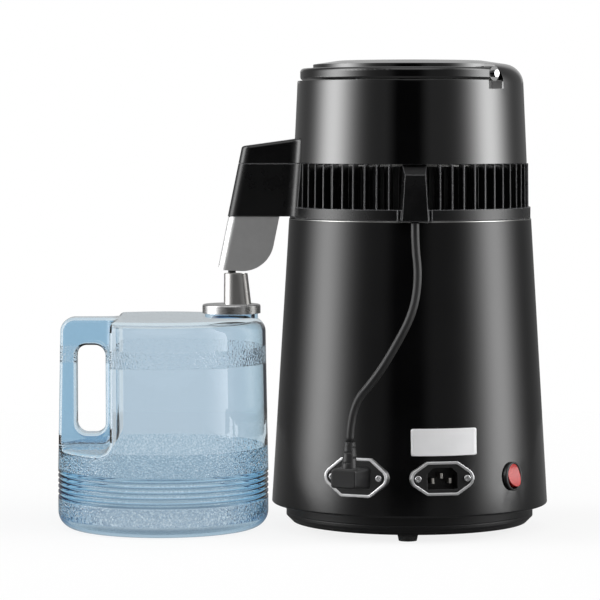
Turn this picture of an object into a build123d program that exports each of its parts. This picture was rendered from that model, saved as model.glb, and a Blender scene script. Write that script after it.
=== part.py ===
from build123d import *
from math import atan2, cos, degrees, radians, sin, sqrt
import os

# Countertop water distiller: a boiler with a lift-off condenser head, and a jug under the spout.
# Millimetres, +Z up, counter at Z 0, origin in the middle of the footprint.
# The jug stands on the -X side, the boiler on the +X side, the service side faces -Y.
# Boiler and head are drawn about the boiler axis and the jug about its own axis.
# A bearing is an angle about the boiler axis, from -Y towards +X.

# Shared fits
RUN_FIT = 0.05
EASE = 0.3
SNUG = 0.1
CUT_OVERRUN = 6.0
TOUCH = 0.001

# Stance
JUG_GAP = 3.0
FOOT_COUNT = 3
FOOT_BEARING = -3.0
FOOT_RADIUS = 8.5
FOOT_HEIGHT = 5.5
FOOT_TAPER = 1.2
FOOT_INSET = 14.0
FOOT_STEM_RADIUS = 3.0
FOOT_BARB = 1.2
FOOT_BARB_HEIGHT = 2.0

# Housing and plinth tray
SHELL_BASE_RADIUS = 114.0
SHELL_TOP_RADIUS = 99.8
SHELL_HEIGHT = 234.0
SHELL_WALL = 1.5
SHELL_EDGE_ROUND = 1.4
PLINTH_HEIGHT = 15.5
TRAY_INSET = 12.0
TRAY_WALL = 2.5
TRAY_RIM = 7.0
TRAY_CHAMFER = 5.0
TRAY_GROOVE = 0.4
TRAY_GROOVE_WIDTH = 1.0

# Tank, heater and tie posts
TANK_INSET = 5.8
TANK_FLOOR_RISE = 65.0
TANK_WALL = 1.0
TANK_CORNER = 14.0
TANK_RIM_INSET = 0.2
TANK_RIM = 0.8
HEATER_INSET = 9.0
HEATER_THICKNESS = 4.0
HEATER_TUBE_RADIUS = 4.2
HEATER_LOOP_INSET = 16.0
HEATER_LOOP_GAP = 50.0
HEATER_BEND = 12.0
HEATER_TAIL = 10.0
THERMOSTAT_RADIUS = 8.0
THERMOSTAT_HEIGHT = 9.0
THERMOSTAT_SPREAD = 26.0
THERMOSTAT_TAB_LENGTH = 7.0
THERMOSTAT_TAB_WIDTH = 6.3
THERMOSTAT_TAB_THICKNESS = 0.8
POST_COUNT = 3
POST_RADIUS = 4.0
POST_INSET = 39.0
POST_BEARING = 100.0
POST_BORE_DEPTH = 12.0
TIE_RADIUS = 2.0
TIE_HEAD_RADIUS = 3.8
TIE_HEAD_HEIGHT = 2.2

# Service openings
SERVICE_RISE = 31.5
SERVICE_BEARING = 11.0
OUTLET_PITCH = 35.0
SWITCH_PITCH = 34.0
SWITCH_DROP = 1.8
SOCKET_WIDTH = 52.4
INLET_FLANGE_HEIGHT = 22.4
OUTLET_FLANGE_HEIGHT = 26.8
SOCKET_FLAT = 23.5
SOCKET_END_ROUND = 6.0
SOCKET_CORNER_ROUND = 2.0
SOCKET_STAND = 0.4
SOCKET_FLANGE = 2.4
SOCKET_BARREL_WIDTH = 28.0
SOCKET_BARREL_HEIGHT = 21.0
SOCKET_BARREL_DEPTH = 20.0
RECESS_WIDTH = 24.6
RECESS_HEIGHT = 17.0
RECESS_CHAMFER = 4.6
RECESS_DEPTH = 15.5
PIN_WIDTH = 2.0
PIN_BREADTH = 4.0
PIN_LENGTH = 12.0
PIN_TAB = 8.0
PIN_SPREAD = 14.0
PIN_OFFSET = 2.0
BEZEL_WIDTH = 2.2
BEZEL_PROUD = 0.5
BEZEL_REACH = 6.0
SCREW_SPREAD = 40.0
SCREW_RADIUS = 1.5
SCREW_LENGTH = 9.0
SCREW_HEAD_RADIUS = 2.6
SCREW_HEAD_HEIGHT = 1.8
SCREW_SLOT = 1.0
SCREW_CROSS_SHARE = 0.66

# Rocker switch
SWITCH_COLLAR_BREADTH = 20.0
SWITCH_COLLAR_HEIGHT = 23.2
SWITCH_COLLAR = 2.0
SWITCH_STAND = 0.7
SWITCH_BARREL_INSET = 0.8
SWITCH_BARREL_DEPTH = 20.0
SWITCH_WELL_DEPTH = 11.0
SWITCH_WELL_BREADTH = 15.2
SWITCH_WELL_HEIGHT = 20.6
ROCKER_BREADTH = 14.4
ROCKER_HEIGHT = 18.4
ROCKER_RISE = 5.4
ROCKER_DISH = 1.5
ROCKER_ROOT = 2.6
ROCKER_PIN_RADIUS = 1.2
ROCKER_PIN_LENGTH = 1.2
ROCKER_TILT = 11.0

# Plug and lead
PLUG_WIDTH = 26.0
PLUG_HEIGHT = 17.0
PLUG_DEPTH = 25.0
PLUG_WIDTH_TAPER = 5.0
PLUG_HEIGHT_TAPER = 2.0
PLUG_ROUND = 2.6
PLUG_NOSE_CLEAR = 1.0
BOOT_RADIUS = 6.2
BOOT_TIP_RADIUS = 4.4
BOOT_LENGTH = 20.0
BOOT_SETBACK = 13.0
BOOT_SLOT_COUNT = 4
BOOT_SLOT = 1.4
BOOT_SLOT_DEPTH = 1.3
CORD_RADIUS = 3.25
# Hand-laid hang of the lead: bearing in degrees, distance off the wall, share of the drop left
CORD_HANG_SHARES = (
    (1.5, 5.8, 0.803),
    (-0.6, 7.4, 0.585),
    (-7.6, 9.4, 0.375),
    (-15.2, 12.2, 0.173),
)
CORD_LEAD = 18.0
CORD_TAIL = 28.0
CORD_ROUND_SHARE = 0.45

# Head: seal, pan, vent ring
SEAL_THICKNESS = 2.4
SEAL_WIDTH = 4.6
PAN_CLEAR = 0.4
PAN_THICKNESS = 1.2
PAN_SKIRT_CLEAR = 1.6
PAN_SKIRT_DEPTH = 9.0
PORT_HEIGHT = 14.0
PORT_WALL = 1.4
BAND_INSET = 0.6
BAND_HEIGHT = 9.0
BAND_WALL = 2.2
BAND_SEAT = 6.0
VENT_HEIGHT = 35.8
VENT_INSET = 1.6
VENT_DRAFT = 0.4
SLAT_PITCH = 6.0
SLAT_THICKNESS = 1.3
SLAT_DEPTH = 8.0
HOOP_INSET = 4.0
HOOP_WALL = 3.6
HOOP_RISE = 4.4
BLOCK_CLEAR_BEARING = 9.0
SPOUT_CLEAR_BEARING = 22.0
SEAM = 0.4

# Cord block on the vent ring
BLOCK_PROUD = 11.8
BLOCK_BASE_WIDTH = 25.0
BLOCK_FACE_WIDTH = 21.0
BLOCK_TOP_WIDTH = 16.4
BLOCK_FACE_HEIGHT = 37.0
BLOCK_FOOT_WIDTH = 27.5
BLOCK_FOOT_PROUD = 4.0
CORD_EXIT_SETBACK = 5.2

# Head cover, handle, pins
COVER_HEIGHT = 83.6
COVER_INSET = 3.8
COVER_DRAFT = 3.7
COVER_SHOULDER = 17.0
COVER_CROWN = 4.8
COVER_WALL = 2.2
COVER_STEP = 2.0
LEDGE_DROP = 16.4
LEDGE_INSET = 12.3
HANDLE_BEARING = 46.0
HANDLE_CLEAR = 1.8
HANDLE_WIDTH = 8.8
HANDLE_THICKNESS = 10.0
HANDLE_ROUND = 3.0
HANDLE_LIFT = 0.2
HANDLE_EYE_RADIUS = 6.0
NOTCH_REACH = 9.0
NOTCH_DROP = 12.4
HANDLE_PIN_RADIUS = 2.5
HANDLE_PIN_HEAD_RADIUS = 3.0
HANDLE_PIN_HEAD = 2.4
HANDLE_PIN_ROOT = 8.0
PIN_BOSS_RADIUS = 5.5
PIN_BOSS_DEPTH = 10.0

# Spout housing and insert
SPOUT_WIDTH = 52.0
SPOUT_PROUD = 50.8
SPOUT_LEAN = 11.5
SPOUT_CORNER = 8.0
SPOUT_FLARE = 10.0
SPOUT_WALL = 2.2
SPOUT_ROOT_RISE = 19.5
SPOUT_FRONT_RISE = 12.0
SPOUT_ROOF_ROUND = 2.4
SPOUT_LIP = 1.6
SPOUT_ROOT_INSET = 7.1
INSERT_DROP = 46.6
INSERT_TIP_RISE = 2.4
INSERT_TIP_ROUND = 3.0
INSERT_REAR_PROUD = 7.8
INSERT_BELLY_ROUND = 26.0
INSERT_TOP = 8.0
INSERT_WALL = 1.6
INSERT_INSET = 0.6
CUP_WALL = 1.4
CUP_DEPTH = 26.0
CUP_RIM = 1.4
PACK_GAP = 3.0
NIPPLE_SETBACK = 3.0
NIPPLE_RADIUS = 3.2
NIPPLE_BORE = 2.0
NIPPLE_DROP = 0.6
NIPPLE_RISE = 4.0

# Condenser coil and fins
COIL_CLEAR = 0.2
COIL_TUBE_RADIUS = 5.0
COIL_TUBE_WALL = 0.8
COIL_PITCH = 12.0
COIL_TURNS = 2.5
COIL_RISE = 14.5
COIL_BEND = 14.0
COIL_TAIL = 28.0
FIN_COUNT = 90
FIN_CLEAR = 1.0
FIN_RING_WALL = 1.2
FIN_DEPTH = 7.0
FIN_THICKNESS = 0.9
FIN_HEIGHT = 40.0
FIN_GAP_COUNT = 8

# Fan, motor, guard
MOTOR_RADIUS = 26.0
MOTOR_HEIGHT = 28.0
MOTOR_ROUND = 3.0
SHAFT_RADIUS = 2.5
SHAFT_LENGTH = 34.0
SHAFT_DEPTH = 18.0
FAN_OVERLAP = 1.0
FAN_HUB_RADIUS = 13.0
FAN_HUB_HEIGHT = 13.0
FAN_BLADE_COUNT = 7
FAN_BLADE_THICKNESS = 1.6
FAN_ROOT_CHORD = 19.0
FAN_TIP_CHORD = 30.0
FAN_ROOT_PITCH = 38.0
FAN_TIP_PITCH = 22.0
BRACKET_THICKNESS = 2.0
BRACKET_HUB_RADIUS = 22.0
BRACKET_ARM_WIDTH = 10.0
BRACKET_ARM_COUNT = 3
BRACKET_BEARING = 75.0
BRACKET_OUTSET = 6.0
BRACKET_BOSS_RADIUS = 4.5
BRACKET_DROP = 15.0
GUARD_INSET = 20.0
GUARD_THICKNESS = 2.2
GUARD_SEAT = 2.5
GUARD_RIM = 5.0
GUARD_BAR = 2.2
GUARD_RING_COUNT = 5
GUARD_HUB_RADIUS = 10.0
GUARD_SPOKE_COUNT = 6

# Jug, cap, drip inlet
JUG_RADIUS = 87.0
JUG_DRAFT = 2.4
DRIP_GAP = 0.5
JUG_WALL = 2.4
JUG_BASE_ROUND = 14.0
JUG_SHOULDER_ROUND = 12.0
JUG_STRAIGHT_RISE = 48.0
JUG_GROOVE_COUNT = 5
JUG_GROOVE_BASE = 28.0
JUG_GROOVE_PITCH = 4.4
JUG_GROOVE_RADIUS = 1.8
JUG_GROOVE_DEPTH = 1.0
GRIP_THICKNESS = 26.0
GRIP_DEPTH = 47.0
GRIP_FLOOR_RISE = 66.0
GRIP_ROUND = 11.0
GRIP_HOLE_DEPTH = 40.0
GRIP_HOLE_WIDTH = 24.2
GRIP_HOLE_RISE = 78.2
GRIP_HOLE_HEADROOM = 22.6
GRIP_HOLE_ROUND = 9.0
GRIP_RIM_ROUND = 5.0
GRIP_HOLE_RIM_ROUND = 4.0
NECK_LAG = 0.4
NECK_RADIUS = 20.4
NECK_BORE = 16.5
NECK_HEIGHT = 7.4
NECK_COLLAR_RADIUS = 21.8
NECK_COLLAR = 3.0
CAP_RADIUS = 24.0
CAP_WALL = 1.2
CAP_HEIGHT = 7.4
CAP_EDGE_ROUND = 1.6
LINER_THICKNESS = 1.4
INLET_BASE = 22.6
INLET_TOP = 19.4
INLET_HEIGHT = 25.4
INLET_SHIFT = 5.0
INLET_LEAN = 1.4
INLET_ROUND = 8.8
INLET_WALL = 1.2

# Levels and places that follow from the sizes
TRAY_RADIUS = SHELL_BASE_RADIUS - TRAY_INSET
FOOT_CIRCLE_RADIUS = TRAY_RADIUS - FOOT_INSET
POST_CIRCLE_RADIUS = SHELL_BASE_RADIUS - POST_INSET
HEATER_RADIUS = POST_CIRCLE_RADIUS - HEATER_INSET
HEATER_LOOP_RADIUS = HEATER_RADIUS - HEATER_LOOP_INSET
TANK_RADIUS = SHELL_TOP_RADIUS - TANK_INSET
TANK_RIM_RADIUS = SHELL_TOP_RADIUS - TANK_RIM_INSET
BAND_RADIUS = SHELL_TOP_RADIUS - BAND_INSET
PAN_RADIUS = BAND_RADIUS - BAND_WALL - PAN_CLEAR
PAN_SKIRT_RADIUS = TANK_RADIUS - TANK_WALL - PAN_SKIRT_CLEAR
VENT_BASE_RADIUS = BAND_RADIUS - VENT_INSET
VENT_TOP_RADIUS = VENT_BASE_RADIUS - VENT_DRAFT
HOOP_RADIUS = VENT_TOP_RADIUS - HOOP_INSET
BLOCK_REACH = BAND_RADIUS + BLOCK_PROUD
BLOCK_FOOT_REACH = BAND_RADIUS + BLOCK_FOOT_PROUD
CORD_EXIT_RADIUS = BLOCK_REACH - CORD_EXIT_SETBACK
COVER_BASE_RADIUS = SHELL_TOP_RADIUS - COVER_INSET
COVER_TOP_RADIUS = COVER_BASE_RADIUS - COVER_DRAFT
LEDGE_RADIUS = COVER_TOP_RADIUS - LEDGE_INSET
HANDLE_INNER_RADIUS = LEDGE_RADIUS + HANDLE_CLEAR
GUARD_RADIUS = LEDGE_RADIUS - GUARD_INSET
FAN_RADIUS = GUARD_RADIUS + FAN_OVERLAP
BRACKET_CIRCLE_RADIUS = GUARD_RADIUS + BRACKET_OUTSET
SPOUT_REACH = BAND_RADIUS + SPOUT_PROUD
SPOUT_INNER_RADIUS = COVER_BASE_RADIUS - SPOUT_ROOT_INSET
INSERT_REAR = BAND_RADIUS + INSERT_REAR_PROUD
NIPPLE_REACH = SPOUT_REACH - NIPPLE_SETBACK
FIN_RADIUS = VENT_BASE_RADIUS - SLAT_DEPTH - FIN_CLEAR
FIN_RING_RADIUS = FIN_RADIUS - FIN_DEPTH
COIL_RADIUS = FIN_RING_RADIUS - FIN_RING_WALL - COIL_TUBE_RADIUS - COIL_CLEAR
JUG_TOP_RADIUS = JUG_RADIUS - JUG_DRAFT
GRIP_WALL_REACH = JUG_RADIUS - GRIP_DEPTH
GRIP_HOLE_REACH = JUG_RADIUS - GRIP_HOLE_DEPTH
NECK_OFFSET = SHELL_BASE_RADIUS + JUG_GAP + JUG_RADIUS - NIPPLE_REACH - NECK_LAG
SHELL_BASE_Z = FOOT_HEIGHT + PLINTH_HEIGHT
SHELL_TOP_Z = SHELL_BASE_Z + SHELL_HEIGHT
TRAY_FLOOR_Z = FOOT_HEIGHT + TRAY_WALL
TANK_FLOOR_Z = SHELL_BASE_Z + TANK_FLOOR_RISE
SERVICE_Z = SHELL_BASE_Z + SERVICE_RISE
SWITCH_Z = SERVICE_Z - SWITCH_DROP
RIM_Z = SHELL_TOP_Z + TANK_RIM
PAN_Z = RIM_Z + SEAL_THICKNESS
PAN_TOP_Z = PAN_Z + PAN_THICKNESS
BAND_Z = RIM_Z + EASE
VENT_Z = BAND_Z + BAND_HEIGHT
VENT_TOP_Z = VENT_Z + VENT_HEIGHT
COVER_Z = VENT_TOP_Z + SEAM
COVER_TOP_Z = COVER_Z + COVER_HEIGHT
LEDGE_Z = COVER_TOP_Z - LEDGE_DROP
PIVOT_Z = LEDGE_Z + HANDLE_LIFT + HANDLE_THICKNESS / 2
SPOUT_Z = BAND_Z + SPOUT_LIP
INSERT_TOP_Z = SPOUT_Z + INSERT_TOP
COIL_Z = PAN_TOP_Z + COIL_RISE
COIL_TOP_Z = COIL_Z + COIL_PITCH * COIL_TURNS
BRACKET_Z = COVER_TOP_Z - BRACKET_DROP
MOTOR_Z = BRACKET_Z - MOTOR_HEIGHT
FAN_Z = MOTOR_Z - SHAFT_LENGTH + SHAFT_DEPTH
INLET_TOP_Z = SPOUT_Z - INSERT_DROP - NIPPLE_DROP - DRIP_GAP
CAP_TOP_Z = INLET_TOP_Z - INLET_HEIGHT
CAP_Z = CAP_TOP_Z - CAP_HEIGHT
JUG_HEIGHT = CAP_Z - EASE - NECK_COLLAR
GRIP_HOLE_HEIGHT = JUG_HEIGHT - GRIP_HOLE_RISE - GRIP_HOLE_HEADROOM
FOOTPRINT = 2 * JUG_RADIUS + JUG_GAP + 2 * SHELL_BASE_RADIUS
BOILER_X = FOOTPRINT / 2 - SHELL_BASE_RADIUS
JUG_X = JUG_RADIUS - FOOTPRINT / 2
OUTLET_BEARING = SERVICE_BEARING - OUTLET_PITCH
SWITCH_BEARING = SERVICE_BEARING + SWITCH_PITCH
SPOUT_BEARING = -90.0
BASE = (Align.CENTER, Align.CENTER, Align.MIN)
TOP = (Align.CENTER, Align.CENTER, Align.MAX)
QUARTER = 90.0


# Shared shapes
def lathe(points, radii=None):
    """Solid turned about Z from (radius, height) points, with a round for each corner."""
    rounds = radii or [0] * len(points)
    return revolve(make_face(Plane.XZ * FilletPolyline(*points, radius=rounds, close=True)), Axis.Z)


def ring(outer, inner, low, high):
    return lathe(((inner, low), (outer, low), (outer, high), (inner, high)))


def rod(radius, low, high):
    return Pos(0, 0, low) * Cylinder(radius, high - low, align=BASE)


def out(bearing):
    """Turns a piece drawn on the -Y side to a bearing."""
    return Rot(0, 0, bearing)


def ring_point(radius, bearing, level):
    return Vector(radius * sin(radians(bearing)), -radius * cos(radians(bearing)), level)


def shared_bearings(count, first):
    return [first + 2 * QUARTER * 2 * step / count for step in range(count)]


def biarc(start, start_way, end, end_way):
    """Two arcs that leave start and reach end along the given directions."""
    a, b = Vector(start), Vector(end)
    ta, tb = Vector(start_way).normalized(), Vector(end_way).normalized()
    chord = b - a
    both = ta + tb
    spread = 2 * (1 - ta.dot(tb))
    along = chord.dot(both)
    if spread < 1e-9:
        reach = chord.dot(chord) / (4 * chord.dot(tb))
    else:
        reach = (sqrt(along * along + spread * chord.dot(chord)) - along) / spread
    first, second = a + ta * reach, b - tb * reach
    middle = (first + second) / 2
    return [
        TangentArc(a, middle, tangent=ta),
        TangentArc(middle, b, tangent=second - first),
    ]


def shared_edges(solid, one, other):
    """Edges of a solid that lie on the surfaces of two other shapes."""
    def lies_on(edge, shape):
        spot = Vertex(*(edge @ (1 / 2)))
        return min(spot.distance_to(face) for face in shape.faces()) < TOUCH
    return [edge for edge in solid.edges() if lies_on(edge, one) and lies_on(edge, other)]


def tube_along(edges, section):
    """Sweeps a section along joined edges, set square to their start."""
    path = Wire(edges)
    return sweep(Plane(origin=path @ 0, z_dir=path % 0) * section, path=path)


# Housing
def shell_radius(height):
    share = (height - SHELL_BASE_Z) / SHELL_HEIGHT
    return SHELL_BASE_RADIUS + (SHELL_TOP_RADIUS - SHELL_BASE_RADIUS) * share


def service_place(bearing, level=SERVICE_Z):
    """Frame on the housing wall: X to the right seen from outside, Y up, Z outward."""
    lean = atan2(SHELL_BASE_RADIUS - SHELL_TOP_RADIUS, SHELL_HEIGHT)
    east, north = sin(radians(bearing)), -cos(radians(bearing))
    radius = shell_radius(level)
    return Plane(
        origin=(radius * east, radius * north, level),
        x_dir=(-north, east, 0),
        z_dir=(east * cos(lean), north * cos(lean), sin(lean)),
    ).location


def housing_cone(growth):
    return lathe((
        (0, SHELL_BASE_Z),
        (SHELL_BASE_RADIUS + growth, SHELL_BASE_Z),
        (SHELL_TOP_RADIUS + growth, SHELL_TOP_Z),
        (0, SHELL_TOP_Z),
    ))


def outer_housing():
    lip = TRAY_RADIUS + EASE
    wall = lathe(
        (
            (lip, SHELL_BASE_Z),
            (SHELL_BASE_RADIUS, SHELL_BASE_Z),
            (SHELL_TOP_RADIUS, SHELL_TOP_Z),
            (SHELL_TOP_RADIUS - SHELL_WALL, SHELL_TOP_Z),
            (SHELL_BASE_RADIUS - SHELL_WALL, SHELL_BASE_Z + SHELL_WALL),
            (lip, SHELL_BASE_Z + SHELL_WALL),
        ),
        (0, SHELL_EDGE_ROUND, 0, 0, 0, 0),
    )
    through = 2 * SOCKET_BARREL_DEPTH
    window = Box(SOCKET_BARREL_WIDTH + 2 * EASE, SOCKET_BARREL_HEIGHT + 2 * EASE, through)
    for side in (-1, 1):
        window += Pos(side * SCREW_SPREAD / 2, 0, 0) * Cylinder(SCREW_RADIUS + SNUG, through)
    for bearing in (SERVICE_BEARING, OUTLET_BEARING):
        wall -= service_place(bearing) * window
    return wall - switch_place() * extrude(switch_oval(EASE - SWITCH_BARREL_INSET), through / 2, both=True)


def base_tray():
    shelf = SHELL_BASE_Z + SHELL_WALL
    groove = FOOT_HEIGHT + PLINTH_HEIGHT / 2
    tray = lathe((
        (0, FOOT_HEIGHT),
        (TRAY_RADIUS - TRAY_CHAMFER, FOOT_HEIGHT),
        (TRAY_RADIUS, FOOT_HEIGHT + TRAY_CHAMFER),
        (TRAY_RADIUS, groove - TRAY_GROOVE_WIDTH / 2),
        (TRAY_RADIUS - TRAY_GROOVE, groove),
        (TRAY_RADIUS, groove + TRAY_GROOVE_WIDTH / 2),
        (TRAY_RADIUS, shelf),
        (TRAY_RADIUS + TRAY_RIM, shelf),
        (TRAY_RADIUS + TRAY_RIM, shelf + TRAY_WALL),
        (TRAY_RADIUS - TRAY_WALL, shelf + TRAY_WALL),
        (TRAY_RADIUS - TRAY_WALL, TRAY_FLOOR_Z),
        (0, TRAY_FLOOR_Z),
    ))
    stem_hole = rod(FOOT_STEM_RADIUS + SNUG, 0, 2 * TRAY_FLOOR_Z)
    for bearing in shared_bearings(FOOT_COUNT, FOOT_BEARING):
        tray -= out(bearing) * Pos(0, -FOOT_CIRCLE_RADIUS, 0) * stem_hole
    tie_hole = rod(TIE_RADIUS + SNUG, 0, 2 * TRAY_FLOOR_Z)
    for bearing in shared_bearings(POST_COUNT, POST_BEARING):
        tray -= out(bearing) * Pos(0, -POST_CIRCLE_RADIUS, 0) * tie_hole
    return tray


def rubber_feet():
    barb_z = TRAY_FLOOR_Z
    foot = lathe((
        (0, 0),
        (FOOT_RADIUS - FOOT_TAPER, 0),
        (FOOT_RADIUS, FOOT_HEIGHT),
        (FOOT_STEM_RADIUS, FOOT_HEIGHT),
        (FOOT_STEM_RADIUS, barb_z),
        (FOOT_STEM_RADIUS + FOOT_BARB, barb_z),
        (FOOT_STEM_RADIUS, barb_z + FOOT_BARB_HEIGHT),
        (0, barb_z + FOOT_BARB_HEIGHT),
    ))
    places = shared_bearings(FOOT_COUNT, FOOT_BEARING)
    return Compound([out(b) * Pos(0, -FOOT_CIRCLE_RADIUS, 0) * foot for b in places])


# Tank and heater
def boiler_tank():
    wall = TANK_RADIUS - TANK_WALL
    return lathe(
        (
            (0, TANK_FLOOR_Z),
            (TANK_RADIUS, TANK_FLOOR_Z),
            (TANK_RADIUS, SHELL_TOP_Z),
            (TANK_RIM_RADIUS, SHELL_TOP_Z),
            (TANK_RIM_RADIUS, RIM_Z),
            (wall, RIM_Z),
            (wall, TANK_FLOOR_Z + TANK_WALL),
            (0, TANK_FLOOR_Z + TANK_WALL),
        ),
        (0, TANK_CORNER, 0, TANK_RIM / 3, TANK_RIM / 3, TANK_RIM / 2, TANK_CORNER - TANK_WALL, 0),
    )


def heater_plate():
    return rod(HEATER_RADIUS, TANK_FLOOR_Z - HEATER_THICKNESS, TANK_FLOOR_Z)


def heater_tube():
    level = TANK_FLOOR_Z - HEATER_THICKNESS - SNUG - HEATER_TUBE_RADIUS
    turn = degrees(HEATER_LOOP_GAP / HEATER_LOOP_RADIUS) / 2
    ends = []
    for bearing in (turn, -turn):
        place = ring_point(HEATER_LOOP_RADIUS, bearing, level)
        way = Vector(-cos(radians(bearing)), -sin(radians(bearing)), 0)
        ends.append((place, way if bearing > 0 else way * -1))
    (first, first_way), (last, last_way) = ends
    drop = Vector(0, 0, -HEATER_BEND)
    tail = Vector(0, 0, -HEATER_TAIL)
    start_bend = first + first_way * HEATER_BEND + drop
    end_bend = last + last_way * HEATER_BEND + drop
    edges = [
        Line(start_bend + tail, start_bend),
        TangentArc(start_bend, first, tangent=(0, 0, 1)),
        ThreePointArc(first, (0, HEATER_LOOP_RADIUS, level), last),
        TangentArc(last, end_bend, tangent=last_way),
        Line(end_bend, end_bend + tail),
    ]
    return tube_along(edges, Circle(HEATER_TUBE_RADIUS))


def thermostats():
    top = TANK_FLOOR_Z - HEATER_THICKNESS
    can = rod(THERMOSTAT_RADIUS, top - THERMOSTAT_HEIGHT, top)
    tab = Box(THERMOSTAT_TAB_THICKNESS, THERMOSTAT_TAB_WIDTH, THERMOSTAT_TAB_LENGTH, align=TOP)
    for side in (-1, 1):
        can += Pos(side * THERMOSTAT_RADIUS / 2, 0, top - THERMOSTAT_HEIGHT) * tab
    return Compound([Pos(side * THERMOSTAT_SPREAD / 2, 0, 0) * can for side in (-1, 1)])


def tie_posts():
    post = rod(POST_RADIUS, TRAY_FLOOR_Z, TANK_FLOOR_Z)
    post -= rod(TIE_RADIUS + SNUG, TRAY_FLOOR_Z, TRAY_FLOOR_Z + POST_BORE_DEPTH)
    places = shared_bearings(POST_COUNT, POST_BEARING)
    return Compound([out(b) * Pos(0, -POST_CIRCLE_RADIUS, 0) * post for b in places])


def tie_screws():
    screw = rod(TIE_HEAD_RADIUS, FOOT_HEIGHT - TIE_HEAD_HEIGHT, FOOT_HEIGHT)
    screw += rod(TIE_RADIUS, FOOT_HEIGHT, TRAY_FLOOR_Z + POST_BORE_DEPTH - EASE)
    places = shared_bearings(POST_COUNT, POST_BEARING)
    return Compound([out(b) * Pos(0, -POST_CIRCLE_RADIUS, 0) * screw for b in places])


# Sockets, drawn in the frame of service_place
def socket_outline(height, growth):
    half_flat, half_height = SOCKET_FLAT / 2, height / 2
    corners = (
        (half_flat, half_height),
        (-half_flat, half_height),
        (-SOCKET_WIDTH / 2 - SOCKET_CORNER_ROUND, 0),
        (-half_flat, -half_height),
        (half_flat, -half_height),
        (SOCKET_WIDTH / 2 + SOCKET_CORNER_ROUND, 0),
    )
    small, end = SOCKET_CORNER_ROUND, SOCKET_END_ROUND
    face = make_face(FilletPolyline(*corners, radius=(small, small, end, small, small, end), close=True))
    return offset(face, amount=growth) if growth else face


def recess_outline(growth):
    half_width, half_height = RECESS_WIDTH / 2 + growth, RECESS_HEIGHT / 2 + growth
    shoulder = half_height - RECESS_CHAMFER
    neck = half_width - RECESS_CHAMFER
    return make_face(Polyline(
        (-half_width, -half_height),
        (half_width, -half_height),
        (half_width, shoulder),
        (neck, half_height),
        (-neck, half_height),
        (-half_width, shoulder),
        close=True,
    ))


SOCKET_FACE = SOCKET_STAND + SOCKET_FLANGE
RECESS_FLOOR = SOCKET_FACE - RECESS_DEPTH
PIN_PLACES = ((-PIN_SPREAD / 2, -PIN_OFFSET), (0, PIN_OFFSET), (PIN_SPREAD / 2, -PIN_OFFSET))


def socket_pin(growth):
    length = PIN_LENGTH + SOCKET_BARREL_DEPTH + SOCKET_STAND + RECESS_FLOOR + PIN_TAB
    return Pos(0, 0, RECESS_FLOOR + PIN_LENGTH) * Box(
        PIN_WIDTH + 2 * growth, PIN_BREADTH + 2 * growth, length, align=TOP
    )


def socket_pins():
    return Compound([Pos(x, y, 0) * socket_pin(0) for x, y in PIN_PLACES])


def socket_body(height):
    body = Pos(0, 0, SOCKET_STAND) * extrude(socket_outline(height, 0), SOCKET_FLANGE)
    barrel = Rectangle(SOCKET_BARREL_WIDTH, SOCKET_BARREL_HEIGHT) & socket_outline(height, 0)
    body += Pos(0, 0, SOCKET_STAND) * extrude(barrel, -SOCKET_BARREL_DEPTH)
    body -= Pos(0, 0, RECESS_FLOOR) * extrude(recess_outline(0), RECESS_DEPTH + CUT_OVERRUN)
    for x, y in PIN_PLACES:
        body -= Pos(x, y, 0) * socket_pin(RUN_FIT)
    screw_hole = Cylinder(SCREW_RADIUS + SNUG, 2 * SOCKET_BARREL_DEPTH)
    for side in (-1, 1):
        body -= Pos(side * SCREW_SPREAD / 2, 0, 0) * screw_hole
    return body


def socket_bezel(bearing, height):
    rise = BEZEL_REACH + SOCKET_FACE + BEZEL_PROUD
    bar = extrude(socket_outline(height, BEZEL_WIDTH), rise)
    bar -= extrude(socket_outline(height, SNUG), 2 * rise)
    return service_place(bearing) * Pos(0, 0, -BEZEL_REACH) * bar - housing_cone(SNUG)


def socket_screws():
    screw = Pos(0, 0, SOCKET_FACE) * Cylinder(SCREW_HEAD_RADIUS, SCREW_HEAD_HEIGHT, align=BASE)
    screw = fillet(screw.edges().group_by(Axis.Z)[-1], SCREW_HEAD_HEIGHT / 3)
    screw += Pos(0, 0, SOCKET_FACE) * Cylinder(SCREW_RADIUS, SCREW_LENGTH, align=TOP)
    cross = Box(2 * SCREW_CROSS_SHARE * SCREW_HEAD_RADIUS, SCREW_SLOT, 3 * SCREW_HEAD_HEIGHT / 2)
    for turn in (0, QUARTER):
        screw -= Pos(0, 0, SOCKET_FACE + SCREW_HEAD_HEIGHT) * Rot(0, 0, turn) * cross
    return Compound([
        service_place(bearing) * Pos(side * SCREW_SPREAD / 2, 0, 0) * screw
        for bearing in (SERVICE_BEARING, OUTLET_BEARING)
        for side in (-1, 1)
    ])


# Rocker switch, drawn in the frame of service_place
ROCKER_AXIS_Z = -ROCKER_ROOT / 2


def rocker_pins(radius, spread):
    return Pos(0, 0, ROCKER_AXIS_Z) * Rot(0, QUARTER, 0) * Cylinder(radius, ROCKER_BREADTH + 2 * spread)


def switch_place():
    return service_place(SWITCH_BEARING, SWITCH_Z)


def switch_oval(growth):
    return Ellipse(SWITCH_COLLAR_BREADTH / 2 + growth, SWITCH_COLLAR_HEIGHT / 2 + growth)


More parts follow.
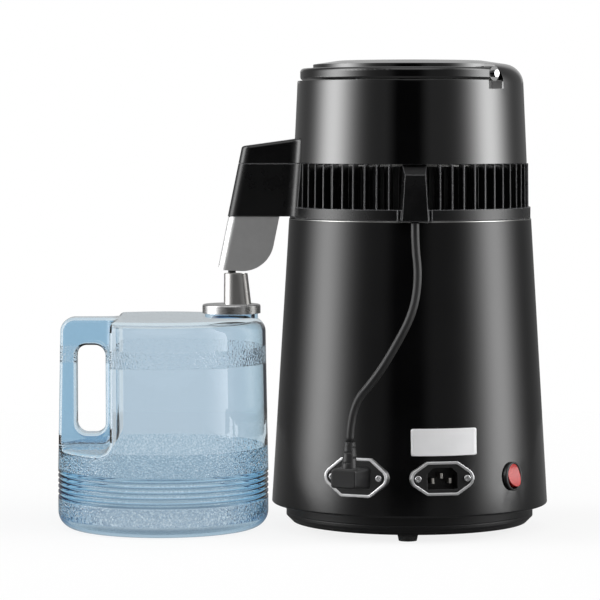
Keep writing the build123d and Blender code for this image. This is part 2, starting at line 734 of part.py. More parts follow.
def switch_body():
    face = SWITCH_STAND + SWITCH_COLLAR
    collar = Pos(0, 0, -SWITCH_COLLAR) * extrude(switch_oval(0), face + SWITCH_COLLAR)
    collar = fillet(collar.edges().group_by(Axis.Z)[-1], SWITCH_COLLAR / 2)
    body = switch_place() * collar - housing_cone(SNUG)
    barrel = Pos(0, 0, SWITCH_STAND) * extrude(switch_oval(-SWITCH_BARREL_INSET), -SWITCH_BARREL_DEPTH)
    body += switch_place() * barrel
    well = extrude(Ellipse(SWITCH_WELL_BREADTH / 2, SWITCH_WELL_HEIGHT / 2), SWITCH_WELL_DEPTH + CUT_OVERRUN)
    body -= switch_place() * Pos(0, 0, face - SWITCH_WELL_DEPTH) * well
    return body - switch_place() * rocker_pins(ROCKER_PIN_RADIUS + RUN_FIT, ROCKER_PIN_LENGTH + EASE)


def rocker():
    half = ROCKER_HEIGHT / 2
    front = ROCKER_AXIS_Z + ROCKER_RISE
    back = ROCKER_AXIS_Z - ROCKER_ROOT
    side_view = Plane.YZ * make_face([
        Polyline((half, front), (half, back), (-half, back), (-half, front)),
        ThreePointArc((-half, front), (0, front - ROCKER_DISH), (half, front)),
    ])
    cap = extrude(side_view, ROCKER_BREADTH / 2, both=True)
    cap &= Pos(0, 0, back) * extrude(Ellipse(ROCKER_BREADTH / 2, half), ROCKER_ROOT + ROCKER_RISE)
    cap += rocker_pins(ROCKER_PIN_RADIUS, ROCKER_PIN_LENGTH)
    tilt = Pos(0, 0, ROCKER_AXIS_Z) * Rot(-ROCKER_TILT, 0, 0) * Pos(0, 0, -ROCKER_AXIS_Z)
    return switch_place() * tilt * cap


# Plug and lead, drawn in the frame of the left socket
PLUG_BACK = SOCKET_FACE + BEZEL_PROUD + EASE
BOOT_Z = PLUG_BACK + BOOT_SETBACK
BOOT_TIP = PLUG_HEIGHT / 2 + BOOT_LENGTH


def head_plug():
    back = RectangleRounded(PLUG_WIDTH, PLUG_HEIGHT, PLUG_ROUND)
    front = RectangleRounded(PLUG_WIDTH - PLUG_WIDTH_TAPER, PLUG_HEIGHT - PLUG_HEIGHT_TAPER, PLUG_ROUND)
    plug = loft([Pos(0, 0, PLUG_BACK) * back, Pos(0, 0, PLUG_BACK + PLUG_DEPTH) * front], ruled=True)
    plug = fillet(plug.edges().group_by(Axis.Z)[-1], PLUG_ROUND / 2)
    nose_length = PLUG_BACK - RECESS_FLOOR - PLUG_NOSE_CLEAR
    plug += Pos(0, 0, PLUG_BACK - nose_length) * extrude(recess_outline(-EASE), nose_length)
    for x, y in PIN_PLACES:
        plug -= Pos(x, y, 0) * socket_pin(RUN_FIT + SNUG)
    return plug - plug_boot_blank()


def plug_boot_blank():
    root = PLUG_HEIGHT / 4
    blank = lathe((
        (0, root),
        (BOOT_RADIUS, root),
        (BOOT_RADIUS, PLUG_HEIGHT / 2),
        (BOOT_TIP_RADIUS, BOOT_TIP),
        (0, BOOT_TIP),
    ))
    return Pos(0, 0, BOOT_Z) * Rot(-QUARTER, 0, 0) * blank


def plug_boot():
    boot = plug_boot_blank()
    for step in range(BOOT_SLOT_COUNT):
        share = (step + 1) / (BOOT_SLOT_COUNT + 1)
        level = PLUG_HEIGHT / 2 + BOOT_LENGTH * share
        core = BOOT_RADIUS - (BOOT_RADIUS - BOOT_TIP_RADIUS) * share - BOOT_SLOT_DEPTH
        cut = ring(2 * BOOT_RADIUS, core, level - BOOT_SLOT / 2, level + BOOT_SLOT / 2)
        cut -= Rot(0, 0, QUARTER * step) * Box(2 * BOOT_RADIUS, 2 * core, 2 * BOOT_TIP)
        boot -= Pos(0, 0, BOOT_Z) * Rot(-QUARTER, 0, 0) * cut
    return boot


def cord_points():
    """Route of the lead about the boiler axis, from the cord block to the boot."""
    tip = (service_place(OUTLET_BEARING) * Pos(0, BOOT_TIP, BOOT_Z)).position
    tail = (service_place(OUTLET_BEARING) * Pos(0, BOOT_TIP + CORD_TAIL, BOOT_Z)).position
    start = Vector(0, -CORD_EXIT_RADIUS, BAND_Z)
    lead = start - Vector(0, 0, CORD_LEAD)
    hang = []
    for bearing, off_wall, share in CORD_HANG_SHARES:
        level = tail.Z + share * (lead.Z - tail.Z)
        hang.append(ring_point(shell_radius(level) + off_wall, bearing, level))
    return [start, lead, *hang, tail, tip]


def head_cord():
    points = cord_points()
    radii = []
    for before, here, after in zip(points, points[1:], points[2:]):
        into, onward = here - before, after - here
        turn = radians(into.get_angle(onward))
        shorter = min(into.length, onward.length)
        radii.append(CORD_ROUND_SHARE * shorter / (sin(turn / 2) / cos(turn / 2)))
    route = FilletPolyline(*points, radius=radii)
    cord = tube_along(route.edges(), Circle(CORD_RADIUS))
    section = Circle(CORD_RADIUS).area
    print("head_cord radii", [round(r, 1) for r in radii], "length", round(route.length, 1))
    print("head_cord volume share", round(cord.volume / (section * route.length), 4))
    return cord


# Head: seal, pan and vent ring
def seal_ring():
    return ring(PAN_RADIUS, PAN_RADIUS - SEAL_WIDTH, RIM_Z, PAN_Z)


def steam_pan():
    bore = COIL_TUBE_RADIUS + SNUG
    return lathe((
        (bore, PAN_Z),
        (PAN_SKIRT_RADIUS - PAN_THICKNESS, PAN_Z),
        (PAN_SKIRT_RADIUS - PAN_THICKNESS, PAN_Z - PAN_SKIRT_DEPTH),
        (PAN_SKIRT_RADIUS, PAN_Z - PAN_SKIRT_DEPTH),
        (PAN_SKIRT_RADIUS, PAN_Z),
        (PAN_RADIUS, PAN_Z),
        (PAN_RADIUS, PAN_TOP_Z),
        (bore + PORT_WALL, PAN_TOP_Z),
        (bore + PORT_WALL, PAN_TOP_Z + PORT_HEIGHT),
        (bore, PAN_TOP_Z + PORT_HEIGHT),
    ))


def head_radius(level):
    """Outside radius of the head that the spout grows from."""
    share = (level - BAND_Z) / (COVER_Z - BAND_Z)
    return BAND_RADIUS + (COVER_BASE_RADIUS - BAND_RADIUS) * share


def spout_plan(level, inset):
    half = SPOUT_WIDTH / 2 - inset
    flare = SPOUT_FLARE + inset
    corner = SPOUT_CORNER - inset
    front = inset - SPOUT_REACH + (level - SPOUT_Z) * sin(radians(SPOUT_LEAN)) / cos(radians(SPOUT_LEAN))
    radius = head_radius(level) - inset
    middle_y = half + flare
    middle_x = -sqrt((radius + flare) ** 2 - middle_y ** 2)
    share = radius / (radius + flare)
    bow = Vector(-middle_x, -middle_y, 0).normalized() + Vector(0, -1, 0)
    bow = Vector(middle_x, middle_y, 0) + bow.normalized() * flare
    diagonal = corner * (1 - sin(radians(QUARTER / 2)))
    root_x, root_y = middle_x * share, middle_y * share
    inner = root_x + SPOUT_FLARE
    edges = [
        Polyline((root_x, -root_y), (inner, -root_y), (inner, root_y), (root_x, root_y)),
        ThreePointArc((root_x, root_y), (bow.X, bow.Y), (middle_x, half)),
        Line((middle_x, half), (front + corner, half)),
        ThreePointArc((front + corner, half), (front + diagonal, half - diagonal), (front, half - corner)),
        Line((front, half - corner), (front, corner - half)),
        ThreePointArc((front, corner - half), (front + diagonal, diagonal - half), (front + corner, -half)),
        Line((front + corner, -half), (middle_x, -half)),
        ThreePointArc((middle_x, -half), (bow.X, -bow.Y), (root_x, -root_y)),
    ]
    return Pos(0, 0, level) * make_face(edges)


def spout_form(inset, low):
    """Spout housing as a solid, leaning in towards the top, roof sloped down to the front."""
    high = COVER_Z + SPOUT_ROOT_RISE + CUT_OVERRUN
    form = loft([spout_plan(low, inset), spout_plan(high, inset)], ruled=True)
    fall = (SPOUT_ROOT_RISE - SPOUT_FRONT_RISE) / (SPOUT_REACH - COVER_BASE_RADIUS)
    ridge = COVER_Z + SPOUT_ROOT_RISE + fall * COVER_BASE_RADIUS - inset
    roof = make_face(Plane.XZ * Polyline(
        (0, ridge),
        (-SPOUT_REACH, ridge - fall * SPOUT_REACH),
        (-SPOUT_REACH, high + 2 * CUT_OVERRUN),
        (0, high + 2 * CUT_OVERRUN),
        close=True,
    ))
    form -= extrude(roof, SPOUT_WIDTH + SPOUT_FLARE, both=True)
    if inset:
        return form
    slope = form.faces().sort_by(Axis.Z)[-1]
    eaves = [edge for edge in slope.edges() if edge.center().X < -COVER_BASE_RADIUS]
    return fillet(eaves, SPOUT_ROOF_ROUND)


def spout_shell():
    shell = spout_form(0, SPOUT_Z) - spout_form(SPOUT_WALL, SPOUT_Z - CUT_OVERRUN)
    return shell - rod(SPOUT_INNER_RADIUS, 0, 2 * COVER_TOP_Z)


def below(level):
    reach = 4 * SPOUT_REACH
    return Pos(0, 0, level) * Box(reach, reach, reach, align=TOP)


def slat():
    outline = make_face(Plane.YZ * Polyline(
        (-VENT_BASE_RADIUS, VENT_Z - BAND_WALL),
        (-VENT_BASE_RADIUS, VENT_Z),
        (-VENT_TOP_RADIUS, VENT_TOP_Z),
        (-HOOP_RADIUS, VENT_TOP_Z),
        (-HOOP_RADIUS + HOOP_WALL / 2, VENT_TOP_Z + HOOP_RISE / 2),
        (SLAT_DEPTH - VENT_BASE_RADIUS, VENT_TOP_Z),
        (SLAT_DEPTH - VENT_BASE_RADIUS, VENT_Z - BAND_WALL),
        close=True,
    ))
    return extrude(outline, SLAT_THICKNESS / 2, both=True)


def slat_bearings():
    count = round(4 * QUARTER / SLAT_PITCH)
    kept = []
    for step in range(count):
        bearing = step * SLAT_PITCH - 2 * QUARTER
        if abs(bearing) > BLOCK_CLEAR_BEARING and abs(bearing - SPOUT_BEARING) > SPOUT_CLEAR_BEARING:
            kept.append(bearing)
    return kept


def cord_block():
    root = VENT_BASE_RADIUS - SLAT_DEPTH
    foot, face_top, root_top = BAND_Z, BAND_Z + BLOCK_FACE_HEIGHT, VENT_TOP_Z
    narrow = BLOCK_TOP_WIDTH / BLOCK_FACE_WIDTH

    def upright(reach, width, top):
        return make_face(Polyline(
            (-width / 2, -reach, foot),
            (width / 2, -reach, foot),
            (width * narrow / 2, -reach, top),
            (-width * narrow / 2, -reach, top),
            close=True,
        ))

    block = loft(
        [upright(root, BLOCK_BASE_WIDTH, root_top), upright(BLOCK_REACH, BLOCK_FACE_WIDTH, face_top)],
        ruled=True,
    )
    step = BLOCK_FOOT_REACH - root
    shoe = Pos(0, -root - step / 2, foot) * Box(BLOCK_FOOT_WIDTH, step, BAND_HEIGHT, align=BASE)
    return block + shoe


def vent_ring():
    seat = PAN_TOP_Z
    band = lathe((
        (BAND_RADIUS - BAND_WALL, BAND_Z),
        (BAND_RADIUS, BAND_Z),
        (BAND_RADIUS, VENT_Z),
        (BAND_RADIUS - BAND_SEAT - BAND_WALL, VENT_Z),
        (BAND_RADIUS - BAND_SEAT - BAND_WALL, seat),
        (BAND_RADIUS - BAND_WALL, seat),
    ))
    hoop = ring(HOOP_RADIUS, HOOP_RADIUS - HOOP_WALL, VENT_TOP_Z, VENT_TOP_Z + HOOP_RISE)
    body = band + hoop + [out(bearing) * slat() for bearing in slat_bearings()]
    block = cord_block() - rod(BAND_RADIUS - BAND_WALL, 0, seat)
    spout = (spout_shell() & below(VENT_TOP_Z)) - rod(BAND_RADIUS - BAND_WALL, 0, seat)
    return body + block + spout


# Head cover
def cover_form(inset):
    """Cover as a solid: drafted skirt, round shoulder, faint crown."""
    low = COVER_Z - (CUT_OVERRUN if inset else 0)
    return lathe(
        (
            (0, low),
            (COVER_BASE_RADIUS - inset, low),
            (COVER_BASE_RADIUS - inset, COVER_Z + SEAM),
            (COVER_TOP_RADIUS - inset, COVER_TOP_Z - COVER_CROWN - inset),
            (GUARD_RADIUS, COVER_TOP_Z - inset),
            (0, COVER_TOP_Z - inset),
        ),
        (0, 0, 0, COVER_SHOULDER - inset, 0, 0),
    )


HANDLE_TURN = Rot(0, 0, HANDLE_BEARING - QUARTER)


def handle_lane(growth):
    """Half ring that the folded handle lies in, with an open slot round each pivot."""
    outer = COVER_BASE_RADIUS + CUT_OVERRUN
    high = COVER_TOP_Z + CUT_OVERRUN
    lane = ring(outer, LEDGE_RADIUS - growth, LEDGE_Z - growth, high)
    half = (Align.CENTER, Align.MIN, Align.CENTER)
    lane -= Pos(0, growth, 0) * Box(4 * outer, 2 * outer, 4 * high, align=half)
    slot_low = PIVOT_Z - NOTCH_DROP - growth
    slot_depth = outer - LEDGE_RADIUS + growth
    for side in (-1, 1):
        lane += Pos(side * (outer - slot_depth / 2), 0, slot_low) * Box(
            slot_depth, 2 * (NOTCH_REACH + growth), high - slot_low, align=BASE
        )
    return HANDLE_TURN * lane


def cross_rod(radius, near, far):
    """Pair of rods on the handle axis, one each side, between two distances from the middle."""
    one = Pos(near, 0, PIVOT_Z) * Rot(0, QUARTER, 0) * Cylinder(radius, far - near, align=BASE)
    return HANDLE_TURN * one, HANDLE_TURN * Rot(0, 0, 2 * QUARTER) * one


def bracket_places():
    bearings = shared_bearings(BRACKET_ARM_COUNT, BRACKET_BEARING)
    return [out(b) * Pos(0, -BRACKET_CIRCLE_RADIUS, 0) for b in bearings]


def head_cover():
    cover = cover_form(0) + (spout_form(0, SPOUT_Z) - below(COVER_Z))
    cover -= handle_lane(0)
    hollow = cover_form(COVER_WALL) - handle_lane(COVER_WALL)
    cover -= hollow
    step_low = VENT_TOP_Z + HOOP_RISE
    seat_top = COVER_TOP_Z - GUARD_THICKNESS
    seat_low, seat_wide = seat_top - GUARD_THICKNESS, GUARD_RADIUS + 2 * GUARD_SEAT
    cover += ring(COVER_BASE_RADIUS - COVER_WALL, HOOP_RADIUS - HOOP_WALL, step_low, step_low + COVER_STEP)
    cover += ring(seat_wide, GUARD_RADIUS - GUARD_SEAT, seat_low, seat_top)
    boss_low = BRACKET_Z + BRACKET_THICKNESS
    for place in bracket_places():
        cover += place * rod(BRACKET_BOSS_RADIUS, boss_low, seat_top)
        cover -= place * rod(SCREW_RADIUS + RUN_FIT, boss_low, boss_low + SCREW_LENGTH)
    for boss in cross_rod(PIN_BOSS_RADIUS, LEDGE_RADIUS - PIN_BOSS_DEPTH, LEDGE_RADIUS - COVER_WALL / 2):
        cover += boss
    pin_root = LEDGE_RADIUS - HANDLE_PIN_ROOT - EASE
    for hole in cross_rod(HANDLE_PIN_RADIUS + RUN_FIT, pin_root, LEDGE_RADIUS + EASE):
        cover -= hole
    cover -= spout_form(SPOUT_WALL, SPOUT_Z - CUT_OVERRUN) - rod(SPOUT_INNER_RADIUS, 0, 2 * COVER_TOP_Z)
    cover -= rod(GUARD_RADIUS - GUARD_SEAT, COVER_Z, COVER_TOP_Z + CUT_OVERRUN)
    return cover - rod(GUARD_RADIUS + EASE, seat_top, COVER_TOP_Z + CUT_OVERRUN)


def fan_guard():
    hub = GUARD_HUB_RADIUS
    grille = Circle(GUARD_RADIUS) - Circle(GUARD_RADIUS - GUARD_RIM)
    pitch = (GUARD_RADIUS - GUARD_RIM - hub) / (GUARD_RING_COUNT + 1)
    for step in range(GUARD_RING_COUNT):
        radius = hub + pitch * (step + 1)
        grille += Circle(radius + GUARD_BAR / 2) - Circle(radius - GUARD_BAR / 2)
    reach = GUARD_RADIUS - GUARD_RIM / 2
    for bearing in shared_bearings(GUARD_SPOKE_COUNT, 0):
        grille += Rot(0, 0, bearing) * Pos(0, -reach / 2) * Rectangle(GUARD_BAR, reach)
    grille += Circle(hub)
    return Pos(0, 0, COVER_TOP_Z - GUARD_THICKNESS) * extrude(grille, GUARD_THICKNESS)


def carry_handle():
    low, high = PIVOT_Z - HANDLE_THICKNESS / 2, PIVOT_Z + HANDLE_THICKNESS / 2
    inner, outer = HANDLE_INNER_RADIUS, HANDLE_INNER_RADIUS + HANDLE_WIDTH
    bar = make_face(Plane.XZ * FilletPolyline(
        (inner, low), (outer, low), (outer, high), (inner, high), radius=HANDLE_ROUND, close=True
    ))
    hoop = HANDLE_TURN * revolve(bar, Axis.Z, -2 * QUARTER)
    for eye in cross_rod(HANDLE_EYE_RADIUS, inner, outer):
        hoop += eye
    for hole in cross_rod(HANDLE_PIN_RADIUS + RUN_FIT, inner - CUT_OVERRUN, outer + CUT_OVERRUN):
        hoop -= hole
    return hoop


def handle_pins():
    outer = HANDLE_INNER_RADIUS + HANDLE_WIDTH + EASE
    shanks = cross_rod(HANDLE_PIN_RADIUS, LEDGE_RADIUS - HANDLE_PIN_ROOT, outer)
    heads = cross_rod(HANDLE_PIN_HEAD_RADIUS, outer, outer + HANDLE_PIN_HEAD)
    return Compound([shank + head for shank, head in zip(shanks, heads)])


# Spout insert and filter
TONGUE_INSET = SPOUT_WALL + EASE
CUP_INSET = TONGUE_INSET + INSERT_WALL + EASE


def lean_x(start, level):
    """Sideways place at a level on a line that leans with the spout."""
    return start + (level - SPOUT_Z) * sin(radians(SPOUT_LEAN)) / cos(radians(SPOUT_LEAN))


def insert_form(inset, top):
    """Insert as a solid up to a level: leaning front and rear, round belly, blunt front corners."""
    bottom = SPOUT_Z - INSERT_DROP
    tip = bottom + INSERT_TIP_RISE
    crest = top + inset
    side = make_face(Plane.XZ * FilletPolyline(
        (lean_x(-SPOUT_REACH, crest), crest),
        (lean_x(-SPOUT_REACH, tip), tip),
        (lean_x(-INSERT_REAR, bottom), bottom),
        (lean_x(-INSERT_REAR, crest), crest),
        radius=(0, INSERT_TIP_ROUND + inset, INSERT_BELLY_ROUND + inset, 0),
        close=True,
    ))
    if inset:
        side = offset(side, amount=-inset)
    plan = loft([spout_plan(bottom - CUT_OVERRUN, inset), spout_plan(crest + CUT_OVERRUN, inset)], ruled=True)
    return extrude(side, SPOUT_WIDTH, both=True) & plan


def spout_insert():
    seam = SPOUT_Z - SEAM
    body = insert_form(INSERT_INSET, seam)
    body += insert_form(TONGUE_INSET, INSERT_TOP_Z) - below(seam)
    body -= insert_form(INSERT_INSET + INSERT_WALL, seam - INSERT_WALL)
    body -= insert_form(TONGUE_INSET + INSERT_WALL, INSERT_TOP_Z + CUT_OVERRUN)
    return body - Pos(-NIPPLE_REACH, 0, 0) * rod(NIPPLE_RADIUS + SNUG, 0, seam)


def outlet_nipple():
    low = SPOUT_Z - INSERT_DROP - NIPPLE_DROP
    high = low + NIPPLE_DROP + INSERT_TIP_RISE + INSERT_WALL + NIPPLE_RISE
    return Pos(-NIPPLE_REACH, 0, 0) * ring(NIPPLE_RADIUS, NIPPLE_BORE, low, high)


def filter_cup():
    floor = INSERT_TOP_Z - CUP_DEPTH
    cup = insert_form(TONGUE_INSET, INSERT_TOP_Z + CUP_RIM) - below(INSERT_TOP_Z)
    cup += insert_form(CUP_INSET, INSERT_TOP_Z + CUP_RIM) - below(floor)
    cup -= insert_form(CUP_INSET + CUP_WALL, INSERT_TOP_Z + CUT_OVERRUN) - below(floor + CUP_WALL)
    drain = (SPOUT_REACH + INSERT_REAR) / 2
    return cup - Pos(-drain, 0, 0) * rod(NIPPLE_RADIUS, 0, floor + 2 * CUP_WALL)


def carbon_pack():
    top = INSERT_TOP_Z - PACK_GAP
    return insert_form(CUP_INSET + CUP_WALL + EASE, top) - below(INSERT_TOP_Z - CUP_DEPTH + CUP_WALL)


# Condenser
def coil_edges():
    """Port riser, radial run, turns going down, outlet run towards the spout."""
    lead = degrees(COIL_BEND / COIL_RADIUS)
    last = SPOUT_BEARING - lead
    first = last - 4 * QUARTER * COIL_TURNS
    entry = first - lead
    slope = -COIL_PITCH / (4 * QUARTER)

    def stand(bearing):
        place = ring_point(COIL_RADIUS, bearing, COIL_TOP_Z + slope * (bearing - first))
        step = radians(1) * COIL_RADIUS
        return place, Vector(cos(radians(bearing)) * step, sin(radians(bearing)) * step, slope)

    riser = Vector(0, 0, COIL_TOP_Z - COIL_BEND)
    away = ring_point(1, entry, 0)
    knee = ring_point(COIL_BEND, entry, COIL_TOP_Z)
    run_end = ring_point(COIL_RADIUS - COIL_BEND, entry, COIL_TOP_Z)
    outlet = Vector(-COIL_RADIUS - COIL_BEND, 0, COIL_Z)
    edges = [
        Line((0, 0, PAN_TOP_Z), riser),
        TangentArc(riser, knee, tangent=(0, 0, 1)),
        Line(knee, run_end),
    ]
    edges += biarc(run_end, away, *stand(first))
    stops = round(4 * COIL_TURNS)
    for stop in range(stops):
        edges += biarc(*stand(first + QUARTER * stop), *stand(first + QUARTER * (stop + 1)))
    edges += biarc(*stand(first + QUARTER * stops), outlet, (-1, 0, 0))
    edges.append(Line(outlet, outlet + Vector(-COIL_TAIL, 0, 0)))
    return edges


def condenser_coil():
    edges = coil_edges()
    path = Wire(edges)
    count = round(path.length / COIL_TUBE_RADIUS)
    spots = [path @ (step / count) for step in range(count + 1)]
    apart = round(6 * COIL_TUBE_RADIUS * count / path.length)
    gap = min(
        (spots[one] - spots[two]).length
        for one in range(count + 1)
        for two in range(one + apart, count + 1)
    )
    print("condenser_coil least gap to itself", round(gap - 2 * COIL_TUBE_RADIUS, 2))
    return tube_along(edges, Circle(COIL_TUBE_RADIUS) - Circle(COIL_TUBE_RADIUS - COIL_TUBE_WALL))


def condenser_fins():
    pitch = 4 * QUARTER / FIN_COUNT
    corners = ((FIN_RING_RADIUS, -1), (FIN_RADIUS, -1), (FIN_RADIUS, 1), (FIN_RING_RADIUS, 1))
    points = []
    for step in range(FIN_COUNT):
        middle = SPOUT_BEARING + pitch * (step + 1 / 2)
        for radius, side in corners:
            half = degrees(FIN_THICKNESS / 2 / radius)
            points.append(ring_point(radius, middle + side * half, 0))
    comb = make_face(Polyline(*points, close=True)) - Circle(FIN_RING_RADIUS - FIN_RING_WALL)
    open_half = pitch * FIN_GAP_COUNT / 2
    sides = [ring_point(2 * FIN_RADIUS, SPOUT_BEARING + way * open_half, 0) for way in (-1, 1)]
    comb -= make_face(Polyline((0, 0, 0), *sides, close=True))
    return Pos(0, 0, PAN_TOP_Z) * extrude(comb, FIN_HEIGHT)


# Fan
def fan_motor():
    can = lathe(
        ((0, MOTOR_Z), (MOTOR_RADIUS, MOTOR_Z), (MOTOR_RADIUS, BRACKET_Z), (0, BRACKET_Z)),
        (0, MOTOR_ROUND, MOTOR_ROUND, 0),
    )
    return can - rod(SHAFT_RADIUS + RUN_FIT, MOTOR_Z - CUT_OVERRUN, MOTOR_Z + SHAFT_DEPTH + EASE)


def motor_shaft():
    return rod(SHAFT_RADIUS, FAN_Z, MOTOR_Z + SHAFT_DEPTH)


def fan_rotor():
    middle = FAN_Z + FAN_HUB_HEIGHT / 2
    root_reach = FAN_HUB_RADIUS - FAN_BLADE_THICKNESS

    def blade_end(reach, chord, pitch):
        place = Plane(origin=(0, -reach, middle), x_dir=(1, 0, 0), z_dir=(0, -1, 0))
        section = RectangleRounded(chord, FAN_BLADE_THICKNESS, FAN_BLADE_THICKNESS / 3)
        return place * Rot(0, 0, pitch) * section

    blade = loft([
        blade_end(root_reach, FAN_ROOT_CHORD, FAN_ROOT_PITCH),
        blade_end(FAN_RADIUS, FAN_TIP_CHORD, FAN_TIP_PITCH),
    ])
    rotor = rod(FAN_HUB_RADIUS, FAN_Z, FAN_Z + FAN_HUB_HEIGHT)
    rotor += [out(b) * blade for b in shared_bearings(FAN_BLADE_COUNT, 0)]
    return rotor - rod(SHAFT_RADIUS + RUN_FIT, 0, COVER_TOP_Z)


def motor_bracket():
    plate = Circle(BRACKET_HUB_RADIUS)
    reach = BRACKET_CIRCLE_RADIUS
    for bearing in shared_bearings(BRACKET_ARM_COUNT, BRACKET_BEARING):
        plate += Rot(0, 0, bearing) * Pos(0, -reach / 2) * Rectangle(BRACKET_ARM_WIDTH, reach)
        plate += Rot(0, 0, bearing) * Pos(0, -reach) * Circle(BRACKET_ARM_WIDTH / 2)
        plate -= Rot(0, 0, bearing) * Pos(0, -reach) * Circle(SCREW_RADIUS + SNUG)
    return Pos(0, 0, BRACKET_Z) * extrude(plate, BRACKET_THICKNESS)


def bracket_screws():
    screw = rod(SCREW_HEAD_RADIUS, BRACKET_Z - SCREW_HEAD_HEIGHT, BRACKET_Z)
    screw += rod(SCREW_RADIUS, BRACKET_Z, BRACKET_Z + SCREW_LENGTH)
    return Compound([place * screw for place in bracket_places()])


# Jug, drawn about its own axis with the grip on the -X side
def jug_form(inset):
    return lathe(
        (
            (0, inset),
            (JUG_RADIUS - inset, inset),
            (JUG_RADIUS - inset, JUG_STRAIGHT_RISE),
            (JUG_TOP_RADIUS - inset, JUG_HEIGHT - inset),
            (0, JUG_HEIGHT - inset),
        ),
        (0, JUG_BASE_ROUND - inset, 0, JUG_SHOULDER_ROUND - inset, 0),
    )


def grip_recess(growth):
    """Hollow each side of the grip web, with the corners next to the body rounded."""
    near = GRIP_THICKNESS / 2 - growth
    reach = JUG_RADIUS + CUT_OVERRUN
    width, depth, height = reach - GRIP_WALL_REACH + growth, reach - near, JUG_HEIGHT
    blank = Pos(-reach, near, GRIP_FLOOR_RISE - growth) * Box(
        width, depth, height, align=(Align.MIN, Align.MIN, Align.MIN)
    )
    floor_edge = blank.edges().filter_by(Axis.Y).group_by(Axis.Z)[0].sort_by(Axis.X)[-1]
    web_edge = blank.edges().filter_by(Axis.X).group_by(Axis.Z)[0].sort_by(Axis.Y)[0]
    wall_edge = blank.edges().filter_by(Axis.Z).group_by(Axis.Y)[0].sort_by(Axis.X)[-1]
    blank = fillet([floor_edge, web_edge, wall_edge], GRIP_ROUND + growth)
    return blank + mirror(blank, Plane.XZ)


def grip_hole(growth):
    width, height = GRIP_HOLE_WIDTH + 2 * growth, GRIP_HOLE_HEIGHT + 2 * growth
    opening = RectangleRounded(width, height, GRIP_HOLE_ROUND + growth)
    centre_x = -GRIP_HOLE_REACH - GRIP_HOLE_WIDTH / 2
    centre_z = GRIP_HOLE_RISE + GRIP_HOLE_HEIGHT / 2
    return Pos(centre_x, 0, centre_z) * extrude(Plane.XZ * opening, JUG_RADIUS, both=True)


def jug():
    neck = Pos(NECK_OFFSET, 0, 0)
    body = jug_form(0) - grip_recess(0)
    body = fillet(shared_edges(body, jug_form(0), grip_recess(0)), GRIP_RIM_ROUND)
    body -= grip_hole(0)
    body = fillet(shared_edges(body, grip_recess(0), grip_hole(0)), GRIP_HOLE_RIM_ROUND)
    body += neck * rod(NECK_COLLAR_RADIUS, JUG_HEIGHT - JUG_WALL, JUG_HEIGHT + NECK_COLLAR)
    body += neck * rod(NECK_RADIUS, JUG_HEIGHT - JUG_WALL, JUG_HEIGHT + NECK_HEIGHT)
    body -= jug_form(JUG_WALL) - grip_recess(JUG_WALL) - grip_hole(JUG_WALL)
    body -= neck * rod(NECK_BORE, JUG_HEIGHT - 2 * JUG_WALL, JUG_HEIGHT + NECK_HEIGHT + CUT_OVERRUN)
    for step in range(JUG_GROOVE_COUNT):
        level = JUG_GROOVE_BASE + JUG_GROOVE_PITCH * step
        body -= Pos(0, 0, level) * Torus(JUG_RADIUS + JUG_GROOVE_RADIUS - JUG_GROOVE_DEPTH, JUG_GROOVE_RADIUS)
    return body


def inlet_form(inset, low, high):
    """Drip inlet as a solid, square with round corners, narrowing upward."""
    def level(height):
        share = (height - CAP_TOP_Z) / INLET_HEIGHT
        side = INLET_BASE + (INLET_TOP - INLET_BASE) * share - 2 * inset
        shift = INLET_SHIFT - INLET_LEAN * share
        return Pos(shift, 0, height) * RectangleRounded(side, side, INLET_ROUND - inset)
    return Pos(NECK_OFFSET, 0, 0) * loft([level(low), level(high)], ruled=True)


def cap_inlet():
    top = CAP_TOP_Z + INLET_HEIGHT
    return inlet_form(0, CAP_TOP_Z, top) - inlet_form(INLET_WALL, CAP_TOP_Z - CUT_OVERRUN, top + CUT_OVERRUN)


def jug_cap():
    inner = CAP_RADIUS - CAP_WALL
    cap = lathe(
        (
            (0, CAP_TOP_Z),
            (CAP_RADIUS, CAP_TOP_Z),
            (CAP_RADIUS, CAP_Z),
            (inner, CAP_Z),
            (inner, CAP_TOP_Z - CAP_WALL),
            (0, CAP_TOP_Z - CAP_WALL),
        ),
        (0, CAP_EDGE_ROUND, 0, 0, 0, 0),
    )
    hole = inlet_form(INLET_WALL, CAP_Z, CAP_TOP_Z + CUT_OVERRUN)
    return Pos(NECK_OFFSET, 0, 0) * cap - hole


def cap_liner():
    top = CAP_TOP_Z - CAP_WALL
    return Pos(NECK_OFFSET, 0, 0) * ring(NECK_RADIUS, NECK_BORE, top - LINER_THICKNESS, top)


